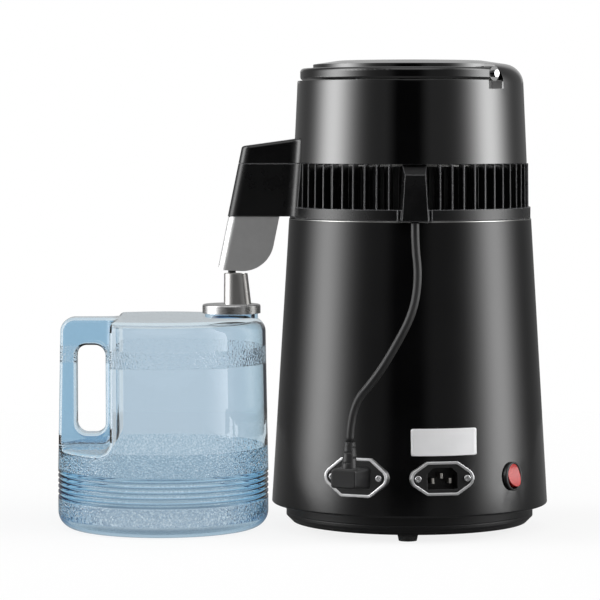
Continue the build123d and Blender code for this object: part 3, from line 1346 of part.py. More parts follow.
def main():
    inlet, outlet = service_place(SERVICE_BEARING), service_place(OUTLET_BEARING)
    boiler_side = {
        "outer_housing": outer_housing(),
        "base_tray": base_tray(),
        "rubber_feet": rubber_feet(),
        "boiler_tank": boiler_tank(),
        "heater_plate": heater_plate(),
        "heater_tube": heater_tube(),
        "thermostats": thermostats(),
        "tie_posts": tie_posts(),
        "tie_screws": tie_screws(),
        "mains_inlet": inlet * socket_body(INLET_FLANGE_HEIGHT),
        "mains_inlet_pins": inlet * socket_pins(),
        "mains_inlet_bezel": socket_bezel(SERVICE_BEARING, INLET_FLANGE_HEIGHT),
        "head_outlet": outlet * socket_body(OUTLET_FLANGE_HEIGHT),
        "head_outlet_pins": outlet * socket_pins(),
        "head_outlet_bezel": socket_bezel(OUTLET_BEARING, OUTLET_FLANGE_HEIGHT),
        "socket_screws": socket_screws(),
        "switch_body": switch_body(),
        "rocker": rocker(),
        "head_plug": outlet * head_plug(),
        "plug_boot": outlet * plug_boot(),
        "head_cord": head_cord(),
        "seal_ring": seal_ring(),
        "steam_pan": steam_pan(),
        "vent_ring": vent_ring(),
        "head_cover": head_cover(),
        "fan_guard": fan_guard(),
        "carry_handle": carry_handle(),
        "handle_pins": handle_pins(),
        "spout_insert": spout_insert(),
        "outlet_nipple": outlet_nipple(),
        "filter_cup": filter_cup(),
        "carbon_pack": carbon_pack(),
        "condenser_coil": condenser_coil(),
        "condenser_fins": condenser_fins(),
        "fan_motor": fan_motor(),
        "motor_shaft": motor_shaft(),
        "fan_rotor": fan_rotor(),
        "motor_bracket": motor_bracket(),
        "bracket_screws": bracket_screws(),
    }
    jug_side = {
        "jug": jug(),
        "jug_cap": jug_cap(),
        "cap_liner": cap_liner(),
        "cap_inlet": cap_inlet(),
    }
    os.makedirs("parts", exist_ok=True)
    for place, pieces in ((Pos(BOILER_X, 0, 0), boiler_side), (Pos(JUG_X, 0, 0), jug_side)):
        for name, piece in pieces.items():
            export_step(place * piece, f"parts/{name}.step")
            print(name, round(piece.volume), len(piece.solids()), piece.is_valid)


if __name__ == "__main__":
    main()
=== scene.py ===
# %% [markdown]
# # A countertop water distiller, dressed over its construction model
# The construction model already holds every solid piece in its true place, in metres. This lesson gives
# those pieces their finishes, adds the few pieces that are better made as meshes, and sets up the studio.

# %% Load the construction model
import math

import bmesh
import bpy
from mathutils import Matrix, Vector


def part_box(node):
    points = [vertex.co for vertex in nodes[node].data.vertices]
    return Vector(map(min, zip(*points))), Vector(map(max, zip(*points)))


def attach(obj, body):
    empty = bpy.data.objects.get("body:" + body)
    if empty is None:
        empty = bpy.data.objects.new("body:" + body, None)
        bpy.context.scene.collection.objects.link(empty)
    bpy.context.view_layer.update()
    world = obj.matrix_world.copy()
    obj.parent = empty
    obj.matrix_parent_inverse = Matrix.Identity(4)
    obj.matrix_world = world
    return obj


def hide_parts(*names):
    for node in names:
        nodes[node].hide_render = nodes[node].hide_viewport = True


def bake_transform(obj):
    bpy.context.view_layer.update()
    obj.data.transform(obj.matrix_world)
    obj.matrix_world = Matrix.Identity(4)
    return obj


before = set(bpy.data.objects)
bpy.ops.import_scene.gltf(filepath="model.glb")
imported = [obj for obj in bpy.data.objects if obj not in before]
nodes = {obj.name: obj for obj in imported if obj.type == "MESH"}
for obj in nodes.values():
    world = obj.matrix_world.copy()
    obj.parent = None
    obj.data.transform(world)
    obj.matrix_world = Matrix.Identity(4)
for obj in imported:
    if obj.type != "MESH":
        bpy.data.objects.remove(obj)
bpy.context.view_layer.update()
scene = bpy.context.scene
scene.view_settings.view_transform = "Standard"

# %% [markdown]
# ## Camera
# The photograph is a long-lens product shot: the level of the eye is near the top of the condenser head,
# and the jug's far side is barely smaller than its near side. So the camera stands two and a half metres
# away with a long lens, tips down a few degrees, and needs no lens shift.

# %% Camera
EYE = Vector((-0.0075, -2.498, 0.334))
HEADING = math.radians(0.12)
TIP = math.radians(3.348)
SENSOR_WIDTH, FOCAL_LENGTH = 36.0, 181.6

camera_data = bpy.data.cameras.new("camera")
camera_data.sensor_width = SENSOR_WIDTH
camera_data.lens = FOCAL_LENGTH
camera = bpy.data.objects.new("camera", camera_data)
scene.collection.objects.link(camera)
camera.location = EYE
gaze = Vector((math.sin(HEADING) * math.cos(TIP), math.cos(HEADING) * math.cos(TIP), -math.sin(TIP)))
camera.rotation_euler = gaze.to_track_quat("-Z", "Y").to_euler()
scene.camera = camera
print("camera at", [round(x, 3) for x in EYE], "lens", camera_data.lens)

# %% [markdown]
# ## The lead from the head to the boiler
# A short round lead leaves the block on the vent ring, hangs down the housing and ends in the plug's boot.
# Its line is a NURBS curve whose control points are the route of the construction model. The tube itself
# is a mesh. The head can be lifted off, but this tube is made in place and tied to neither the head nor
# the plug. The rings of the mesh follow points read from the curve.

# %% Route of the lead
LEAD_RADIUS = 0.00325
LEAD_STEPS = 12
LEAD_ROUTE = (
    (0.08850, -0.10580, 0.25610),
    (0.08850, -0.10580, 0.23810),
    (0.09133, -0.10812, 0.21284),
    (0.08733, -0.11145, 0.18490),
    (0.07328, -0.11408, 0.15798),
    (0.05718, -0.11528, 0.13208),
    (0.03756, -0.11441, 0.10990),
    (0.03687, -0.11596, 0.08195),
)


def nurbs_points(name, route, resolution):
    """Points of a smooth curve whose control points are the route."""
    curve = bpy.data.curves.new(name, "CURVE")
    curve.dimensions = "3D"
    curve.resolution_u = resolution
    spline = curve.splines.new("NURBS")
    spline.points.add(len(route) - 1)
    for point, place in zip(spline.points, route):
        point.co = (*place, 1.0)
    spline.order_u = 3
    spline.use_endpoint_u = True
    holder = bpy.data.objects.new(name, curve)
    scene.collection.objects.link(holder)
    line = bpy.data.meshes.new_from_object(holder)
    points = [vertex.co.copy() for vertex in line.vertices]
    bpy.data.objects.remove(holder)
    bpy.data.meshes.remove(line)
    return points


lead_line = nurbs_points("lead_line", LEAD_ROUTE, LEAD_STEPS)

# %% [markdown]
# The tube is swept by hand: each point of the line gets a ring of vertices square to it. Every ring is
# turned as little as possible from the one before, so the tube doesn't twist. Both ends close, although the
# block and the boot hide them.

# %% Tube of the lead
LEAD_SIDES = 20


def swept_tube(name, line, radius, sides):
    """Closed round tube along a line of points."""
    shape = bmesh.new()
    rings = []
    across = None
    for i, place in enumerate(line):
        along = (line[min(i + 1, len(line) - 1)] - line[max(i - 1, 0)]).normalized()
        across = along.orthogonal() if across is None else across - along * across.dot(along)
        across.normalize()
        third = along.cross(across)
        turns = [2 * math.pi * k / sides for k in range(sides)]
        spokes = [across * math.cos(turn) + third * math.sin(turn) for turn in turns]
        rings.append([shape.verts.new(place + radius * spoke) for spoke in spokes])
    for one, two in zip(rings, rings[1:]):
        for k in range(sides):
            shape.faces.new((one[k], one[(k + 1) % sides], two[(k + 1) % sides], two[k]))
    shape.faces.new(reversed(rings[0]))
    shape.faces.new(rings[-1])
    for face in shape.faces:
        face.smooth = len(face.verts) == 4
    mesh = bpy.data.meshes.new(name)
    shape.to_mesh(mesh)
    shape.free()
    piece = bpy.data.objects.new(name, mesh)
    scene.collection.objects.link(piece)
    return piece


lead = swept_tube("hanging_lead", lead_line, LEAD_RADIUS, LEAD_SIDES)
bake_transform(lead)
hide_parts("head_cord")
print("lead tube", len(lead.data.vertices), "vertices")

# %% [markdown]
# ## A short way to write shader nodes
# Every finish below is a small tree of nodes. One helper adds a node and fills its inputs: a plain value is
# typed into the socket, and an output socket is linked to it.


# %% Node helper
def put(tree, kind, inputs=None, **settings):
    """Adds a node. An input is a plain value, or an output socket to link from."""
    node = tree.nodes.new(kind)
    for name, value in settings.items():
        setattr(node, name, value)
    for name, value in (inputs or {}).items():
        if isinstance(value, bpy.types.NodeSocket):
            tree.links.new(value, node.inputs[name])
        else:
            node.inputs[name].default_value = value
    return node


def math_node(tree, operation, *values):
    return put(tree, "ShaderNodeMath", dict(enumerate(values)), operation=operation).outputs[0]


def ramp(tree, value, start, end):
    """Straight step from 0 to 1 between two values."""
    return put(tree, "ShaderNodeMapRange", {0: value, 1: start, 2: end}).outputs[0]


def ease(tree, value, start, end):
    """Soft step from 0 to 1 between two values."""
    ends = {0: value, 1: start, 2: end}
    return put(tree, "ShaderNodeMapRange", ends, interpolation_type="SMOOTHSTEP").outputs[0]


def new_group(name, inputs, outputs):
    """Empty shader group with named number inputs and outputs."""
    group = bpy.data.node_groups.new(name, "ShaderNodeTree")
    for title, default in inputs.items():
        socket = group.interface.new_socket(title, in_out="INPUT", socket_type="NodeSocketFloat")
        socket.default_value = default
    for title in outputs:
        group.interface.new_socket(title, in_out="OUTPUT", socket_type="NodeSocketFloat")
    return group, put(group, "NodeGroupInput").outputs, put(group, "NodeGroupOutput")


def use_group(tree, group, **values):
    named = {key.replace("_", " "): value for key, value in values.items()}
    return put(tree, "ShaderNodeGroup", named, node_tree=group).outputs


print("node helpers ready")

# %% [markdown]
# ## Effects that several finishes share
# Moulded plastic is never even: it has a fine grain from the tool, and cloudy patches where it is a little
# more or less shiny. The first group gives both, from object coordinates, so no piece needs an unwrapped
# map.

# %% Group: life of a moulded or painted skin
PATCH_EDGES = (0.32, 0.68)


def build_skin_life():
    group, given, result = new_group("skin_life", {"Grain": 900.0, "Patch": 20.0}, ("Height", "Patch"))
    place = put(group, "ShaderNodeTexCoord").outputs["Object"]
    fine = {"Vector": place, "Scale": given["Grain"], "Detail": 3.0, "Roughness": 0.55}
    grain = put(group, "ShaderNodeTexNoise", fine)
    cloudy = {"Vector": place, "Scale": given["Patch"], "Detail": 4.0, "Roughness": 0.6}
    patch = put(group, "ShaderNodeTexNoise", cloudy)
    group.links.new(grain.outputs[0], result.inputs["Height"])
    group.links.new(ease(group, patch.outputs[0], *PATCH_EDGES), result.inputs["Patch"])
    return group


skin_life = build_skin_life()
print("group", skin_life.name, "with", len(skin_life.nodes), "nodes")

# %% [markdown]
# Brushed steel carries fine scratches that all run one way. On turned pieces they run round the axis, so
# the pattern follows the distance from the axis and the height closely, and barely the angle. On pressed
# pieces they run straight, which the same group gives when its axis lies far away.

# %% Group: brushed lines
STREAK_STRETCH = (0.06, 0.4, 0.06)


def build_brushed():
    sockets = {"Axis X": 0.0, "Axis Y": 0.0, "Fineness": 2600.0, "Drift": 14.0}
    group, given, result = new_group("brushed_lines", sockets, ("Height", "Streak"))
    spot = put(group, "ShaderNodeTexCoord").outputs["Object"]
    place = put(group, "ShaderNodeSeparateXYZ", {0: spot}).outputs
    east = math_node(group, "SUBTRACT", place[0], given["Axis X"])
    north = math_node(group, "SUBTRACT", place[1], given["Axis Y"])
    flat = put(group, "ShaderNodeCombineXYZ", {0: east, 1: north})
    reach = put(group, "ShaderNodeVectorMath", {0: flat.outputs[0]}, operation="LENGTH").outputs["Value"]
    bearing = math_node(group, "ARCTAN2", north, east)
    across = math_node(group, "ADD", reach, place[2])
    lines = put(group, "ShaderNodeCombineXYZ", {
        0: math_node(group, "MULTIPLY", across, given["Fineness"]),
        1: math_node(group, "MULTIPLY", bearing, given["Drift"]),
        2: math_node(group, "MULTIPLY", math_node(group, "SUBTRACT", reach, place[2]), given["Fineness"]),
    })
    scratch = put(group, "ShaderNodeTexNoise", {"Vector": lines.outputs[0], "Scale": 1.0, "Detail": 3.0})
    stretch = {0: lines.outputs[0], 1: STREAK_STRETCH}
    broad = put(group, "ShaderNodeVectorMath", stretch, operation="MULTIPLY")
    streak = put(group, "ShaderNodeTexNoise", {"Vector": broad.outputs[0], "Scale": 1.0, "Detail": 5.0})
    group.links.new(scratch.outputs[0], result.inputs["Height"])
    group.links.new(streak.outputs[0], result.inputs["Streak"])
    return group


brushed_lines = build_brushed()
print("group", brushed_lines.name, "with", len(brushed_lines.nodes), "nodes")

# %% [markdown]
# Edges of a moulding are rubbed a little paler than its faces, and some pieces hold a trace of dust on
# their upper faces. On the vent ring the edges are made far paler still, a painted highlight along the
# slats and rims. The edge mask compares the true normal with one that is rounded over a small radius. The
# dust mask looks for faces that point up and breaks them with noise.

# %% Group: edge mask for rubbing and painted highlight, and settled dust
EDGE_LIKENESS = (0.985, 0.86)
LYING_SLOPE = (0.55, 0.98)
SPECK_EDGES = (0.42, 0.72)
WEAR_SAMPLES = 4


def build_rub_sheen_and_dust():
    group, given, result = new_group("edges_and_dust", {"Radius": 0.0006}, ("Edge", "Dust"))
    shape = put(group, "ShaderNodeNewGeometry").outputs["Normal"]
    rounded = put(group, "ShaderNodeBevel", {"Radius": given["Radius"]}, samples=WEAR_SAMPLES)
    alike = put(group, "ShaderNodeVectorMath", {0: shape, 1: rounded.outputs[0]}, operation="DOT_PRODUCT")
    edge = ramp(group, alike.outputs["Value"], *EDGE_LIKENESS)
    up = put(group, "ShaderNodeSeparateXYZ", {0: shape}).outputs[2]
    lying = ramp(group, up, *LYING_SLOPE)
    place = put(group, "ShaderNodeTexCoord").outputs["Object"]
    dusty = {"Vector": place, "Scale": 700.0, "Detail": 4.0, "Roughness": 0.7}
    specks = put(group, "ShaderNodeTexNoise", dusty)
    settled = ramp(group, specks.outputs[0], *SPECK_EDGES)
    group.links.new(edge, result.inputs["Edge"])
    group.links.new(math_node(group, "MULTIPLY", lying, settled), result.inputs["Dust"])
    return group


edges_and_dust = build_rub_sheen_and_dust()
print("group", edges_and_dust.name, "with", len(edges_and_dust.nodes), "nodes")

# %% [markdown]
# ## Finishes for mouldings, paint and rubber
# One builder serves them all: colour, gloss and grain are its own numbers, and the shared groups bring the
# life. Anything that is even over the whole surface goes straight to the shader's socket. No moulding has a
# knife edge, so the shading normal is rounded over the corners, which lets slats and blocks catch a thin
# line of light.

# %% Builder: moulded or painted finish
DUST_TINT = (0.34, 0.33, 0.31, 1.0)
CORNER_SAMPLES = 6


def mix_colour(tree, mask, one, two):
    return put(tree, "ShaderNodeMix", {0: mask, 6: one, 7: two}, data_type="RGBA").outputs[2]


def tinted(colour, share):
    return (*(min(1.0, part * share) for part in colour), 1.0)


def new_finish(name, sockets):
    material = bpy.data.materials.new(name)
    material.use_nodes = True
    skin = material.node_tree.nodes["Principled BSDF"]
    for title, value in sockets.items():
        skin.inputs[title].default_value = value
    return material, material.node_tree, skin


def moulded(name, colour, rough, grain, depth, patch=22.0, uneven=0.15, rub_and_highlight=1.6, dust=0.0,
            radius=0.0006, **sockets):
    """Finish with a grain, cloudy gloss, paler edges (a painted highlight when large) and a little dust."""
    plain = {key.replace("_", " "): value for key, value in sockets.items()}
    material, tree, skin = new_finish(name, plain)
    life = use_group(tree, skin_life, Grain=grain, Patch=patch)
    edge_rub_and_sheen = use_group(tree, edges_and_dust, Radius=radius)
    body = mix_colour(tree, life["Patch"], tinted(colour, 1 - uneven), tinted(colour, 1 + uneven))
    # Paler edges: a little rub on most mouldings, a painted highlight where the share is large.
    edge_rubbed_and_lit = mix_colour(tree, edge_rub_and_sheen["Edge"], body, tinted(colour, rub_and_highlight))
    film = math_node(tree, "MULTIPLY", edge_rub_and_sheen["Dust"], dust)
    tree.links.new(mix_colour(tree, film, edge_rubbed_and_lit, DUST_TINT), skin.inputs["Base Color"])
    gloss = put(tree, "ShaderNodeMapRange", {0: life["Patch"], 3: rough[0], 4: rough[1]})
    tree.links.new(math_node(tree, "ADD", gloss.outputs[0], film), skin.inputs["Roughness"])
    rounded = put(tree, "ShaderNodeBevel", {"Radius": radius}, samples=CORNER_SAMPLES).outputs[0]
    relief = {"Height": life["Height"], "Strength": 1.0, "Distance": depth, "Normal": rounded}
    tree.links.new(put(tree, "ShaderNodeBump", relief).outputs[0], skin.inputs["Normal"])
    return material


print("moulded finish builder ready")

# %% [markdown]
# ## Finishes for bare metal
# Metals take their colour from reflection. The brushed group moves the gloss a little from line to line and
# cuts a very shallow groove, and the slow streaks change the tone as a polishing belt does.

# %% Builder: brushed or plain metal
SCRATCH_EDGES = (0.3, 0.7)
FAR_AXIS = (4.0, 0.0)


def metal(name, colour, rough, axis=FAR_AXIS, fineness=2600.0, drift=14.0, depth=0.000004, uneven=0.12,
          radius=0.0003):
    """Metal whose scratches run round an axis, or straight when it lies far away."""
    material, tree, skin = new_finish(name, {"Metallic": 1.0})
    lines = use_group(tree, brushed_lines, Axis_X=axis[0], Axis_Y=axis[1], Fineness=fineness, Drift=drift)
    tone = mix_colour(tree, lines["Streak"], tinted(colour, 1 - uneven), tinted(colour, 1 + uneven))
    tree.links.new(tone, skin.inputs["Base Color"])
    low, high = SCRATCH_EDGES
    gloss = put(tree, "ShaderNodeMapRange", {0: lines["Height"], 1: low, 2: high, 3: rough[0], 4: rough[1]})
    tree.links.new(gloss.outputs[0], skin.inputs["Roughness"])
    rounded = put(tree, "ShaderNodeBevel", {"Radius": radius}, samples=CORNER_SAMPLES).outputs[0]
    relief = {"Height": lines["Height"], "Strength": 1.0, "Distance": depth, "Normal": rounded}
    tree.links.new(put(tree, "ShaderNodeBump", relief).outputs[0], skin.inputs["Normal"])
    return material


print("metal finish builder ready")

# %% [markdown]
# ## The black pieces
# The tall housing is sheet metal under stove paint, smooth but with a faint ripple. The cover and handle
# are polished mouldings, so they get a clear coat as well. The vent ring and the plinth are grained, duller
# mouldings.

# %% Black finishes
housing_paint = moulded(
    "housing_paint", (0.0035, 0.0035, 0.0038), (0.10, 0.15), 260.0, 0.00001, patch=14.0, rub_and_highlight=1.3, IOR=1.5
)
cover_polish = moulded(
    "cover_polish", (0.0026, 0.0026, 0.0028), (0.07, 0.11), 420.0, 0.000005, rub_and_highlight=1.4,
    IOR=1.6, Coat_Roughness=0.04,
)
handle_polish = moulded(
    "handle_polish", (0.003, 0.003, 0.0032), (0.09, 0.14), 500.0, 0.000006,
    Coat_Weight=0.6, Coat_Roughness=0.05,
)
# The vent ring's far paler edges are a painted highlight along the slats and rims.
vent_grain = moulded(
    "vent_grain", (0.005, 0.005, 0.0053), (0.22, 0.30), 2600.0, 0.00003, uneven=0.2, rub_and_highlight=26.0,
    radius=0.0012, IOR=1.52,
)
tray_satin = moulded("tray_satin", (0.006, 0.006, 0.0065), (0.32, 0.42), 1500.0, 0.00003, IOR=1.4)
guard_satin = moulded(
    "guard_satin", (0.009, 0.009, 0.0095), (0.30, 0.40), 1300.0, 0.00002, rub_and_highlight=1.8, dust=0.12
)
foot_rubber = moulded("foot_rubber", (0.016, 0.016, 0.016), (0.62, 0.78), 1200.0, 0.00005, rub_and_highlight=1.5)
socket_black = moulded("socket_black", (0.008, 0.008, 0.0085), (0.34, 0.44), 1900.0, 0.00002, rub_and_highlight=2.0)
lead_black = moulded("lead_black", (0.010, 0.010, 0.0105), (0.36, 0.50), 1700.0, 0.00003, rub_and_highlight=1.7)
fan_black = moulded("fan_black", (0.014, 0.014, 0.014), (0.36, 0.46), 1400.0, 0.00002, dust=0.2)
# The condenser fins are painted near black: painted shade for the dark inside of the head behind the slats.
fin_painted_shade = moulded("fin_painted_shade", (0.010, 0.010, 0.0105), (0.45, 0.60), 900.0, 0.00001, rub_and_highlight=1.5)
print("black finishes from", housing_paint.name, "to", fin_painted_shade.name)

# %% [markdown]
# The cover carries the upper half of the spout, whose flat sides and root are satin like the lower half,
# and a notch under each handle pin, which the tool leaves dull. So the coat lies everywhere but there, and
# there the gloss drops too. The spout is found by its distance to the side, its root by lying under the
# spout's roof as well, and a notch by its level and by lying deeper than the round wall.

# %% Satin spout and dull notches on the polished cover
SPOUT_FADE, SPOUT_DULL = 0.006, 0.16
ROOT_REACH, ROOT_RISE, ROOT_FADE = 0.007, 0.0205, 0.002
NOTCH_DROP, LEDGE_DROP, NOTCH_RADIUS, NOTCH_DULL = 0.0126, 0.0164, 0.0915, 0.40
BAND_FADE = 0.0008
cover_low, cover_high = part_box("head_cover")
pins_low, pins_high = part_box("handle_pins")
tank_low, tank_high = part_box("boiler_tank")
boiler_axis = (tank_low + tank_high) / 2


def height_band(tree, height, low, high):
    """Mask that is 1 between two heights."""
    rise = ramp(tree, height, low, low + BAND_FADE)
    fall = ramp(tree, height, high, high - BAND_FADE)
    return math_node(tree, "MULTIPLY", rise, fall)


def satin_cover(material, wall_x, notch_low, notch_high):
    """Takes coat and gloss off the spout, its root and the notches."""
    tree = material.node_tree
    skin = tree.nodes["Principled BSDF"]
    place = put(tree, "ShaderNodeTexCoord").outputs["Object"]
    east, north, height = put(tree, "ShaderNodeSeparateXYZ", {0: place}).outputs
    side = ease(tree, east, wall_x, wall_x - SPOUT_FADE)
    root_x = wall_x + ROOT_REACH
    under_roof = math_node(tree, "LESS_THAN", height, cover_low.z + ROOT_RISE)
    root = math_node(tree, "MULTIPLY", ease(tree, east, root_x, root_x - ROOT_FADE), under_roof)
    spout = math_node(tree, "MAXIMUM", side, root)
    across = math_node(tree, "SUBTRACT", east, boiler_axis.x)
    along = math_node(tree, "SUBTRACT", north, boiler_axis.y)
    flat = put(tree, "ShaderNodeCombineXYZ", {0: across, 1: along})
    reach = put(tree, "ShaderNodeVectorMath", {0: flat.outputs[0]}, operation="LENGTH").outputs["Value"]
    deep = math_node(tree, "LESS_THAN", reach, NOTCH_RADIUS)
    notch = math_node(tree, "MULTIPLY", height_band(tree, height, notch_low, notch_high), deep)
    uncoated = math_node(tree, "MAXIMUM", spout, notch)
    tree.links.new(math_node(tree, "SUBTRACT", 1.0, uncoated), skin.inputs["Coat Weight"])
    gloss = skin.inputs["Roughness"].links[0].from_socket
    satin = math_node(tree, "ADD", gloss, math_node(tree, "MULTIPLY", spout, SPOUT_DULL))
    dull = math_node(tree, "ADD", satin, math_node(tree, "MULTIPLY", notch, NOTCH_DULL))
    tree.links.new(dull, skin.inputs["Roughness"])


spout_wall_x = 2 * boiler_axis.x - cover_high.x
notch_levels = ((pins_low.z + pins_high.z) / 2 - NOTCH_DROP, cover_high.z - LEDGE_DROP)
satin_cover(cover_polish, spout_wall_x, *notch_levels)
print("satin spout from x", round(spout_wall_x, 4))
print("dull notches between", [round(level, 4) for level in notch_levels])

# %% [markdown]
# ## Small coloured and pale pieces
# The rocker is a red moulding with a thin gloss. The seals are pale silicone and the thermostats glazed
# bodies. The filter cup and the plate on the housing are plain white, the carbon pack is a rough dark
# fleece, and the fan motor is painted grey.

# %% Coloured and pale finishes
rocker_red = moulded(
    "rocker_red", (0.50, 0.012, 0.010), (0.22, 0.30), 600.0, 0.000008, uneven=0.08, rub_and_highlight=1.25,
    Coat_Weight=0.15, Coat_Roughness=0.10,
)
silicone_pale = moulded(
    "silicone_pale", (0.70, 0.70, 0.68), (0.45, 0.55), 800.0, 0.00001, uneven=0.04, rub_and_highlight=1.05
)
cup_white = moulded("cup_white", (0.72, 0.72, 0.70), (0.38, 0.46), 1100.0, 0.00001, uneven=0.05, rub_and_highlight=1.08)
thermostat_glaze = moulded(
    "thermostat_glaze", (0.70, 0.65, 0.54), (0.18, 0.26), 500.0, 0.00001, uneven=0.06, rub_and_highlight=1.1
)
carbon_fleece = moulded(
    "carbon_fleece", (0.030, 0.030, 0.030), (0.82, 0.95), 900.0, 0.0004, uneven=0.4, rub_and_highlight=1.3
)
motor_paint = moulded("motor_paint", (0.075, 0.078, 0.085), (0.30, 0.40), 700.0, 0.00001, dust=0.15)
plate_white = moulded(
    "plate_white", (0.93, 0.93, 0.94), (0.34, 0.42), 900.0, 0.000006, uneven=0.03, rub_and_highlight=1.03
)
print("coloured and pale finishes from", rocker_red.name, "to", plate_white.name)

# %% [markdown]
# ## The bare metal pieces
# The tank and its bright rim are drawn and spun about the boiler axis, and the cap is brushed round the
# jug's neck. Only the rim of the tank is polished: below it the steel is left satin. The spout insert and
# the drip inlet are satin steel too. The bezels, pins and screws are plated.

# %% Metal finishes
RIM_DEPTH, RIM_FADE, TANK_DULL = 0.002, 0.002, 0.22
cap_low, cap_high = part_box("jug_cap")
neck_axis = (cap_low + cap_high) / 2
tank_steel = metal("tank_steel", (0.44, 0.44, 0.43), (0.07, 0.13), axis=boiler_axis[:2], fineness=1800.0)
cap_steel = metal(
    "cap_steel", (0.56, 0.56, 0.56), (0.24, 0.36), axis=neck_axis[:2], fineness=3200.0, drift=5.0
)
insert_steel = metal("insert_steel", (0.85, 0.85, 0.85), (0.38, 0.46), fineness=2200.0, uneven=0.06)
inlet_steel = metal("inlet_steel", (0.58, 0.57, 0.56), (0.32, 0.38), fineness=2200.0, uneven=0.06)
tube_steel = metal("tube_steel", (0.58, 0.58, 0.57), (0.22, 0.32), fineness=900.0)
plain_alu = metal("plain_alu", (0.70, 0.71, 0.72), (0.28, 0.38), fineness=700.0)
bezel_plate = metal(
    "bezel_plate", (0.86, 0.86, 0.87), (0.30, 0.38), fineness=1500.0, depth=0.000002, uneven=0.05,
    radius=0.0011,
)
screw_plate = metal("screw_plate", (0.66, 0.66, 0.67), (0.20, 0.30), fineness=1500.0)
pin_chrome = metal(
    "pin_chrome", (0.78, 0.78, 0.79), (0.06, 0.10), fineness=1500.0, depth=0.000001, uneven=0.03
)
contact_plate = metal("contact_plate", (0.62, 0.60, 0.56), (0.30, 0.40), fineness=1800.0, radius=0.0006)


def satin_below(material, level, extra):
    """Dulls a metal below a level by an extra roughness."""
    tree = material.node_tree
    skin = tree.nodes["Principled BSDF"]
    place = put(tree, "ShaderNodeTexCoord").outputs["Object"]
    height = put(tree, "ShaderNodeSeparateXYZ", {0: place}).outputs[2]
    dull = math_node(tree, "MULTIPLY", ease(tree, height, level, level - RIM_FADE), extra)
    gloss = skin.inputs["Roughness"].links[0].from_socket
    tree.links.new(math_node(tree, "ADD", gloss, dull), skin.inputs["Roughness"])


satin_below(tank_steel, tank_high.z - RIM_DEPTH, TANK_DULL)
print("metal finishes from", tank_steel.name, "to", contact_plate.name)
print("boiler axis", [round(x, 4) for x in boiler_axis[:2]])

# %% [markdown]
# ## The jug
# The jug is clear blue polycarbonate, and its wall is a real double surface in the construction model, so
# plain transmission with a tinted inside gives the deeper blue where the wall is seen edge on. Two broad
# bands and the foot are pebbled by the mould. The pebbles are shallow cells in the bump, kept to those
# heights by masks. The colour adds painted shade: the foot, the lower band and the ribs between them are
# painted a deeper tint than the clear wall, in place of the white behind them that the pebbles scatter.
# The bottoms of the grooves are painted deeper as shade and the ridges paler as highlight lines, and the
# grip's web and the thick round at the base get a deeper painted shade too. The pebbles carry painted
# specks: those of the upper band are painted shade, a little darker than the clear wall round them, and
# those of the foot and the lower band are painted glints, paler than theirs.

# %% Tints and heights of the jug
CLEAR_TINT = (0.849, 0.883, 0.909, 1.0)
# The rib, foot, base and grip tints are painted shade, deeper than the clear wall.
RIB_PAINTED_SHADE = (0.645, 0.737, 0.793, 1.0)
# The groove tint is painted shade in the grooves, the ridge tint a painted highlight on the ridges.
GROOVE_PAINTED_SHADE = (0.44, 0.56, 0.65, 1.0)
RIDGE_PAINTED_HIGHLIGHT = (0.86, 0.92, 0.95, 1.0)
FOOT_PAINTED_SHADE = (0.624, 0.689, 0.754, 1.0)
BASE_PAINTED_SHADE = (0.40, 0.47, 0.53, 1.0)
GRIP_PAINTED_SHADE = (0.65, 0.78, 0.86, 1.0)
# The side tints are painted by viewing angle: a paler sheen on clear sides, deeper shade on low ones.
CLEAR_SIDE_PAINTED_SHEEN = (0.92, 1.0, 1.0, 1.0)
LOW_SIDE_PAINTED_SHADE = (0.30, 0.72, 1.0, 1.0)
# The pebble tints are painted specks: pale glints on the low bands, darker shade on the upper band.
LOW_PEBBLE_PAINTED_GLINT = (0.95, 0.97, 0.98, 1.0)
UPPER_PEBBLE_PAINTED_SHADE = (0.79, 0.84, 0.88, 1.0)
INSIDE_TINT, INSIDE_DENSITY = (0.278, 0.539, 0.717, 1.0), 130.0
UPPER_BAND = (0.1365, 0.1507)
LOWER_BAND = (0.0490, 0.0685)
FOOT_BAND = (0.0095, 0.0245)
BASE_FADE = (0.0115, 0.0065)
GROOVE_BASE, GROOVE_PITCH, GROOVE_COUNT = 0.0280, 0.0044, 5
GRIP_REACH, GRIP_EASE, GRIP_LEVELS = 0.050, 0.004, (0.066, 0.070)
jug_low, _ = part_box("jug")
grip_edge = jug_low.x + GRIP_REACH
print("pebbled bands", UPPER_BAND, LOWER_BAND, FOOT_BAND)

# %% [markdown]
# The colour of the wall is laid in layers: first the zones by height, then the sides, painted by how
# steeply they are seen: a paler painted sheen on the clear wall's sides, a deeper painted shade on the
# low zones' sides. A clear wall has no shade of its own, so the sides are told by Layer Weight, which only
# says how steeply the wall is seen.

# %% Wall colour of the jug
SIDE_SLANT = (0.15, 0.75)
GROOVE_WAVE = (0.0, 0.9)


def grooved_painted_light(tree, height):
    """Tint of the ribbed wall: painted shade in the grooves, a painted highlight on the ridges."""
    from_base = math_node(tree, "SUBTRACT", height, GROOVE_BASE)
    wave = math_node(tree, "COSINE", math_node(tree, "MULTIPLY", from_base, 2 * math.pi / GROOVE_PITCH))
    low = GROOVE_BASE - GROOVE_PITCH / 2
    ribs = height_band(tree, height, low, low + GROOVE_COUNT * GROOVE_PITCH)
    start, full = GROOVE_WAVE
    groove_shade = math_node(tree, "MULTIPLY", ribs, ease(tree, wave, start, full))
    ridge_highlight = math_node(tree, "MULTIPLY", ribs, ease(tree, wave, start, -full))
    return mix_colour(tree, ridge_highlight, mix_colour(tree, groove_shade, RIB_PAINTED_SHADE, GROOVE_PAINTED_SHADE), RIDGE_PAINTED_HIGHLIGHT)


